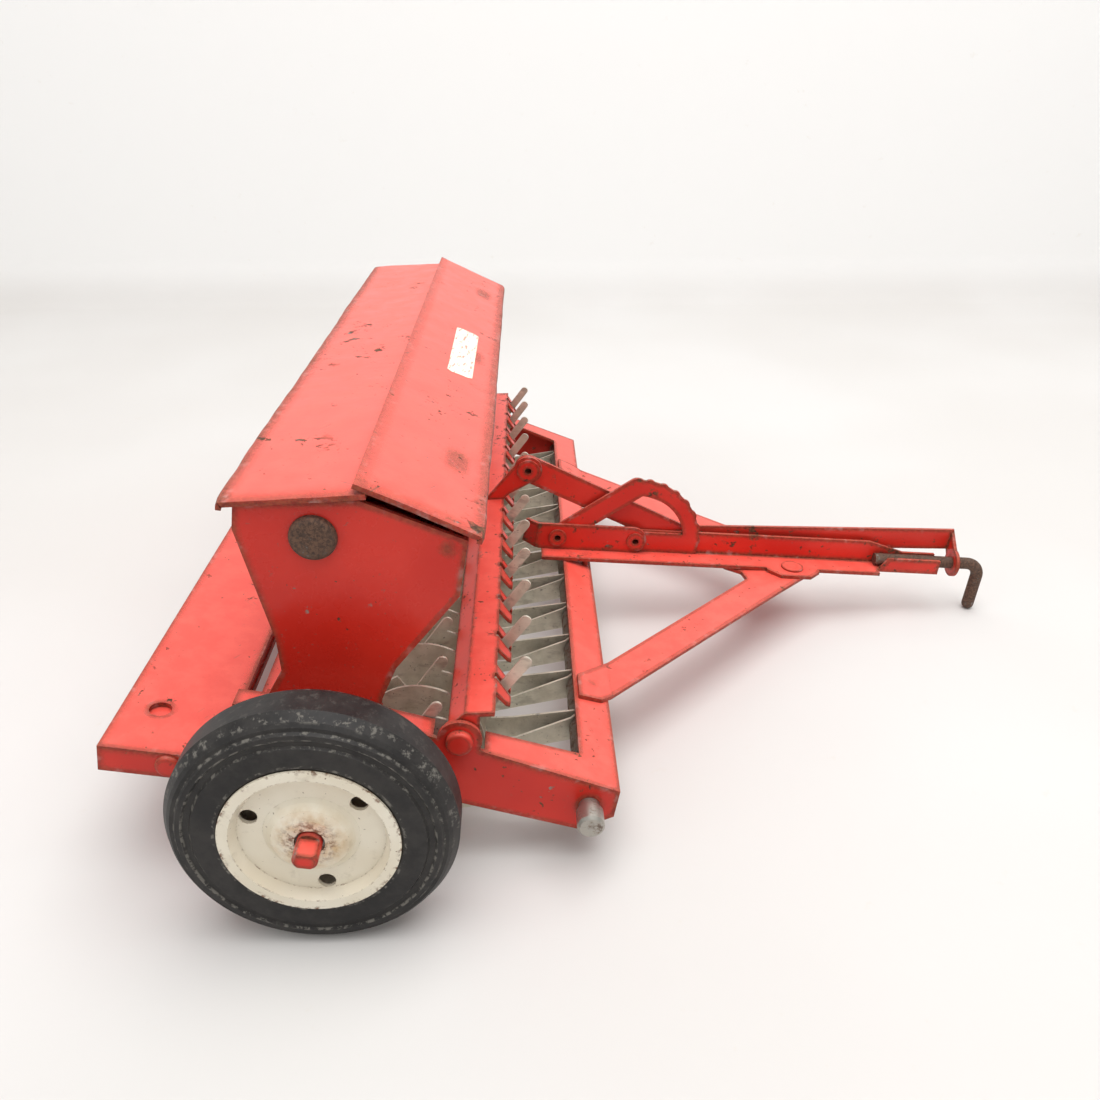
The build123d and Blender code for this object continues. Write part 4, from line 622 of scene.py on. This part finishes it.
def close_layers(mesh, upper, lower):
    """Faces over two grids of vertices, one above the other, and round their edges."""
    columns = len(upper) - 1
    last = len(upper[0]) - 1
    for c in range(columns):
        for k in range(last):
            mesh.faces.new((upper[c][k], upper[c + 1][k], upper[c + 1][k + 1], upper[c][k + 1]))
            mesh.faces.new((lower[c][k], lower[c][k + 1], lower[c + 1][k + 1], lower[c + 1][k]))
        for k in (0, last):
            mesh.faces.new((upper[c][k], lower[c][k], lower[c + 1][k], upper[c + 1][k]))
    for c in (0, columns):
        for k in range(last):
            mesh.faces.new((upper[c][k], upper[c][k + 1], lower[c][k + 1], lower[c][k]))


def bent_sheet(mesh, points, seed):
    """A dented sheet across the machine, whose upper face follows the points in the side view."""
    line = rounded_line(points, FOLD_R, LINE_STEP)
    last = len(line) - 1
    normals = []
    for k in range(last + 1):
        along = (line[min(k + 1, last)] - line[max(k - 1, 0)]).normalized()
        normals.append(Vector((-along.y, along.x)))
    upper = []
    lower = []
    for c in range(SHEET_COLUMNS + 1):
        y = ROOF_HALF * (2 * c / SHEET_COLUMNS - 1)
        droop = END_DROOP * max(0.0, abs(y) / ROOF_HALF - END_FROM) / END_SPAN
        upper.append([])
        lower.append([])
        for place, away in zip(line, normals):
            top = place + away * (dent(place.x, y, seed) - droop)
            under = top - away * SHEET
            upper[-1].append(mesh.verts.new((top.x, y, top.y)))
            lower[-1].append(mesh.verts.new((under.x, y, under.y)))
    close_layers(mesh, upper, lower)


def circle(centre, radius):
    """Points round a circle, as pairs."""
    turns = [2 * math.pi * k / ROUND_STEPS for k in range(ROUND_STEPS)]
    return [(centre[0] + radius * math.cos(turn), centre[1] + radius * math.sin(turn)) for turn in turns]


def band(mesh, first, second):
    """Faces between two closed loops of vertices."""
    for k in range(len(first)):
        j = (k + 1) % len(first)
        mesh.faces.new((first[k], first[j], second[j], second[k]))


def ring(mesh, centre, inner, outer, y_low, y_high):
    """A closed tube along Y about a side-view centre."""
    loops = []
    for radius, y in ((outer, y_low), (outer, y_high), (inner, y_high), (inner, y_low)):
        loops.append([mesh.verts.new((x, y, z)) for x, z in circle(centre, radius)])
    for first, second in zip(loops, loops[1:] + loops[:1]):
        band(mesh, first, second)


def plate(mesh, points, y_low, y_high):
    """A plate of constant section along Y from a side-view outline."""
    near = [mesh.verts.new((x, y_low, z)) for x, z in points]
    far = [mesh.verts.new((x, y_high, z)) for x, z in points]
    mesh.faces.new(near)
    mesh.faces.new(far[::-1])
    band(mesh, near, far)


def make_roof():
    """The two roof panels, slightly dented, the front one with its three hinge knuckles."""
    mesh = bmesh.new()
    bent_sheet(mesh, [(ROOF_REAR[0], ROOF_REAR[1] - LIP), ROOF_REAR, RIDGE], REAR_SEED)
    finish_piece(mesh, "rear_panel_sheet", "frame", red_roof, ["hopper_rear_panel"], ROOF_EDGE)
    mesh = bmesh.new()
    bent_sheet(mesh, [LID_REAR, LID_FRONT, (LID_FRONT[0], LID_FRONT[1] - LIP)], LID_SEED)
    back = HINGE[0] - KNUCKLE_R
    front = back + LEAF
    under = LID_FRONT[1] + (LID_FRONT[0] - back) * LID_SLOPE - SHEET + LEAF_SUNK
    for y in KNUCKLE_AT:
        ring(mesh, HINGE, HINGE_BORE, KNUCKLE_R, y - KNUCKLE_HALF, y + KNUCKLE_HALF)
        leaf = [(back, HINGE[1]), (front, HINGE[1]), (front, under), (back, under)]
        plate(mesh, leaf, y - KNUCKLE_HALF, y + KNUCKLE_HALF)
    finish_piece(mesh, "lid_sheet", "lid", red_roof, ["hopper_lid"], ROOF_EDGE)


STRIPE_X = (10.7, 17.2)
STRIPE_HALF = 21.0
STRIPE_COLUMNS = 40
STRIPE_ROWS = 8
STRIPE_CORNER_R = 1.2
STRIPE_TOP = 0.09
STRIPE_UNDER = 0.03


def stripe_layer(mesh, lift):
    """A grid of vertices over the stripe, its corners rounded, that stands off the dented lid."""
    away = Vector((LID_SLOPE, 1.0)).normalized()
    grid = []
    for c in range(STRIPE_COLUMNS + 1):
        y = STRIPE_HALF * (2 * c / STRIPE_COLUMNS - 1)
        end = max(0.0, abs(y) - STRIPE_HALF + STRIPE_CORNER_R) / STRIPE_CORNER_R
        inset = STRIPE_CORNER_R * (1 - math.sqrt(max(0.0, 1 - end * end)))
        row = []
        for k in range(STRIPE_ROWS + 1):
            x = STRIPE_X[0] + inset + (STRIPE_X[1] - STRIPE_X[0] - 2 * inset) * k / STRIPE_ROWS
            z = LID_FRONT[1] + (LID_FRONT[0] - x) * LID_SLOPE
            off = dent(x, y, LID_SEED) + lift
            row.append(mesh.verts.new((x + away.x * off, y, z + away.y * off)))
        grid.append(row)
    return grid


def make_stripe():
    """A blank worn stripe, where the real toy carries its maker's transfer."""
    mesh = bmesh.new()
    close_layers(mesh, stripe_layer(mesh, STRIPE_TOP), stripe_layer(mesh, STRIPE_UNDER))
    finish_piece(mesh, "lid_stripe", "lid", stripe_paint, (), 0)


BOARD_HOLES = [(-38.0, -89.5), (-38.0, 89.5)]
BACKING_R = 3.4
BACKING_Z = (-3.1, -2.7)


def make_hole_backing():
    """The red sheet seen through the footboard's holes."""
    mesh = bmesh.new()
    for hole in BOARD_HOLES:
        low, high = [[mesh.verts.new((x, y, z)) for x, y in circle(hole, BACKING_R)] for z in BACKING_Z]
        mesh.faces.new(low[::-1])
        mesh.faces.new(high)
        band(mesh, low, high)
    finish_piece(mesh, "footboard_hole_backing", "frame", red_sheet, (), 0)


make_roof()
make_stripe()
make_hole_backing()


# ---------------------------------------------------------------- stage, light and camera

# The stage, in metres.
STAGE_BACK = 0.40
STAGE_BEND = 0.03
STAGE_FRONT = -1.6
STAGE_TOP = 1.6
STAGE_ACROSS = (-2.2, -0.7, 0.7, 2.2)
BEND_STEPS = 16


def make_stage():
    """A pale floor that curves up into a plain backdrop."""
    profile = [(STAGE_FRONT, 0.0), (STAGE_BACK, 0.0)]
    for k in range(1, BEND_STEPS + 1):
        angle = math.pi / 2 * k / BEND_STEPS
        profile.append((STAGE_BACK + STAGE_BEND * math.sin(angle), STAGE_BEND * (1 - math.cos(angle))))
    profile.append((STAGE_BACK + STAGE_BEND, STAGE_TOP))
    mesh = bmesh.new()
    rows = [[mesh.verts.new((x, y, z)) for y, z in profile] for x in STAGE_ACROSS]
    for left, right in zip(rows, rows[1:]):
        for k in range(len(profile) - 1):
            mesh.faces.new((left[k], right[k], right[k + 1], left[k + 1]))
    data = bpy.data.meshes.new("stage_floor")
    mesh.to_mesh(data)
    mesh.free()
    data.polygons.foreach_set("use_smooth", [True] * len(data.polygons))
    floor = bpy.data.objects.new("stage_floor", data)
    bpy.context.scene.collection.objects.link(floor)
    data.materials.append(floor_cloth("floor_cloth"))


LIGHT_TARGET = Vector((0, 0, 0.03))
ROOM_COLOR = (1.0, 0.995, 0.985, 1.0)
ROOM_STRENGTH = 0.47

# The camera, fitted to the photo: millimetres for the lens, metres from the floor below the axle's
# middle, and degrees.
LENS = 30.963
CAMERA_FROM_AXLE = Vector((0.0410, -0.2539, 0.1562))
CAMERA_DOWN = 27.76
CAMERA_ROLL = 0.05
CAMERA_TURN = -1.49


def area_light(name, place, size, power, color):
    """A soft rectangular lamp that looks at the drill."""
    data = bpy.data.lights.new(name, "AREA")
    data.shape = "RECTANGLE"
    data.size, data.size_y = size
    data.energy = power
    data.color = color
    lamp = bpy.data.objects.new(name, data)
    lamp.location = place
    lamp.rotation_euler = (LIGHT_TARGET - Vector(place)).to_track_quat("-Z", "Y").to_euler()
    bpy.context.scene.collection.objects.link(lamp)


def make_world():
    world = bpy.data.worlds.new("soft_room")
    world.use_nodes = True
    background = world.node_tree.nodes["Background"]
    background.inputs["Color"].default_value = ROOM_COLOR
    background.inputs["Strength"].default_value = ROOM_STRENGTH
    bpy.context.scene.world = world
    bpy.context.scene.view_settings.view_transform = "Standard"


def make_camera():
    data = bpy.data.cameras.new("camera")
    data.sensor_width = 36.0
    data.lens = LENS
    data.clip_start = 0.005
    data.dof.use_dof = False
    camera = bpy.data.objects.new("camera", data)
    camera.location = Vector((AXLE.x, 0, 0)) + CAMERA_FROM_AXLE
    camera.rotation_euler = [math.radians(angle) for angle in (90 - CAMERA_DOWN, CAMERA_ROLL, CAMERA_TURN)]
    bpy.context.scene.collection.objects.link(camera)
    bpy.context.scene.camera = camera


make_stage()
area_light("key_above", (0.1, -0.15, 1.0), (1.1, 0.9), 11.0, (1, 1, 1))
area_light("fill_left", (-0.9, -0.5, 0.55), (0.7, 0.7), 1.2, (1.0, 0.985, 0.96))
area_light("fill_front", (0.5, -1.0, 0.6), (0.8, 0.6), 1.0, (1.0, 0.99, 0.97))
make_world()
make_camera()
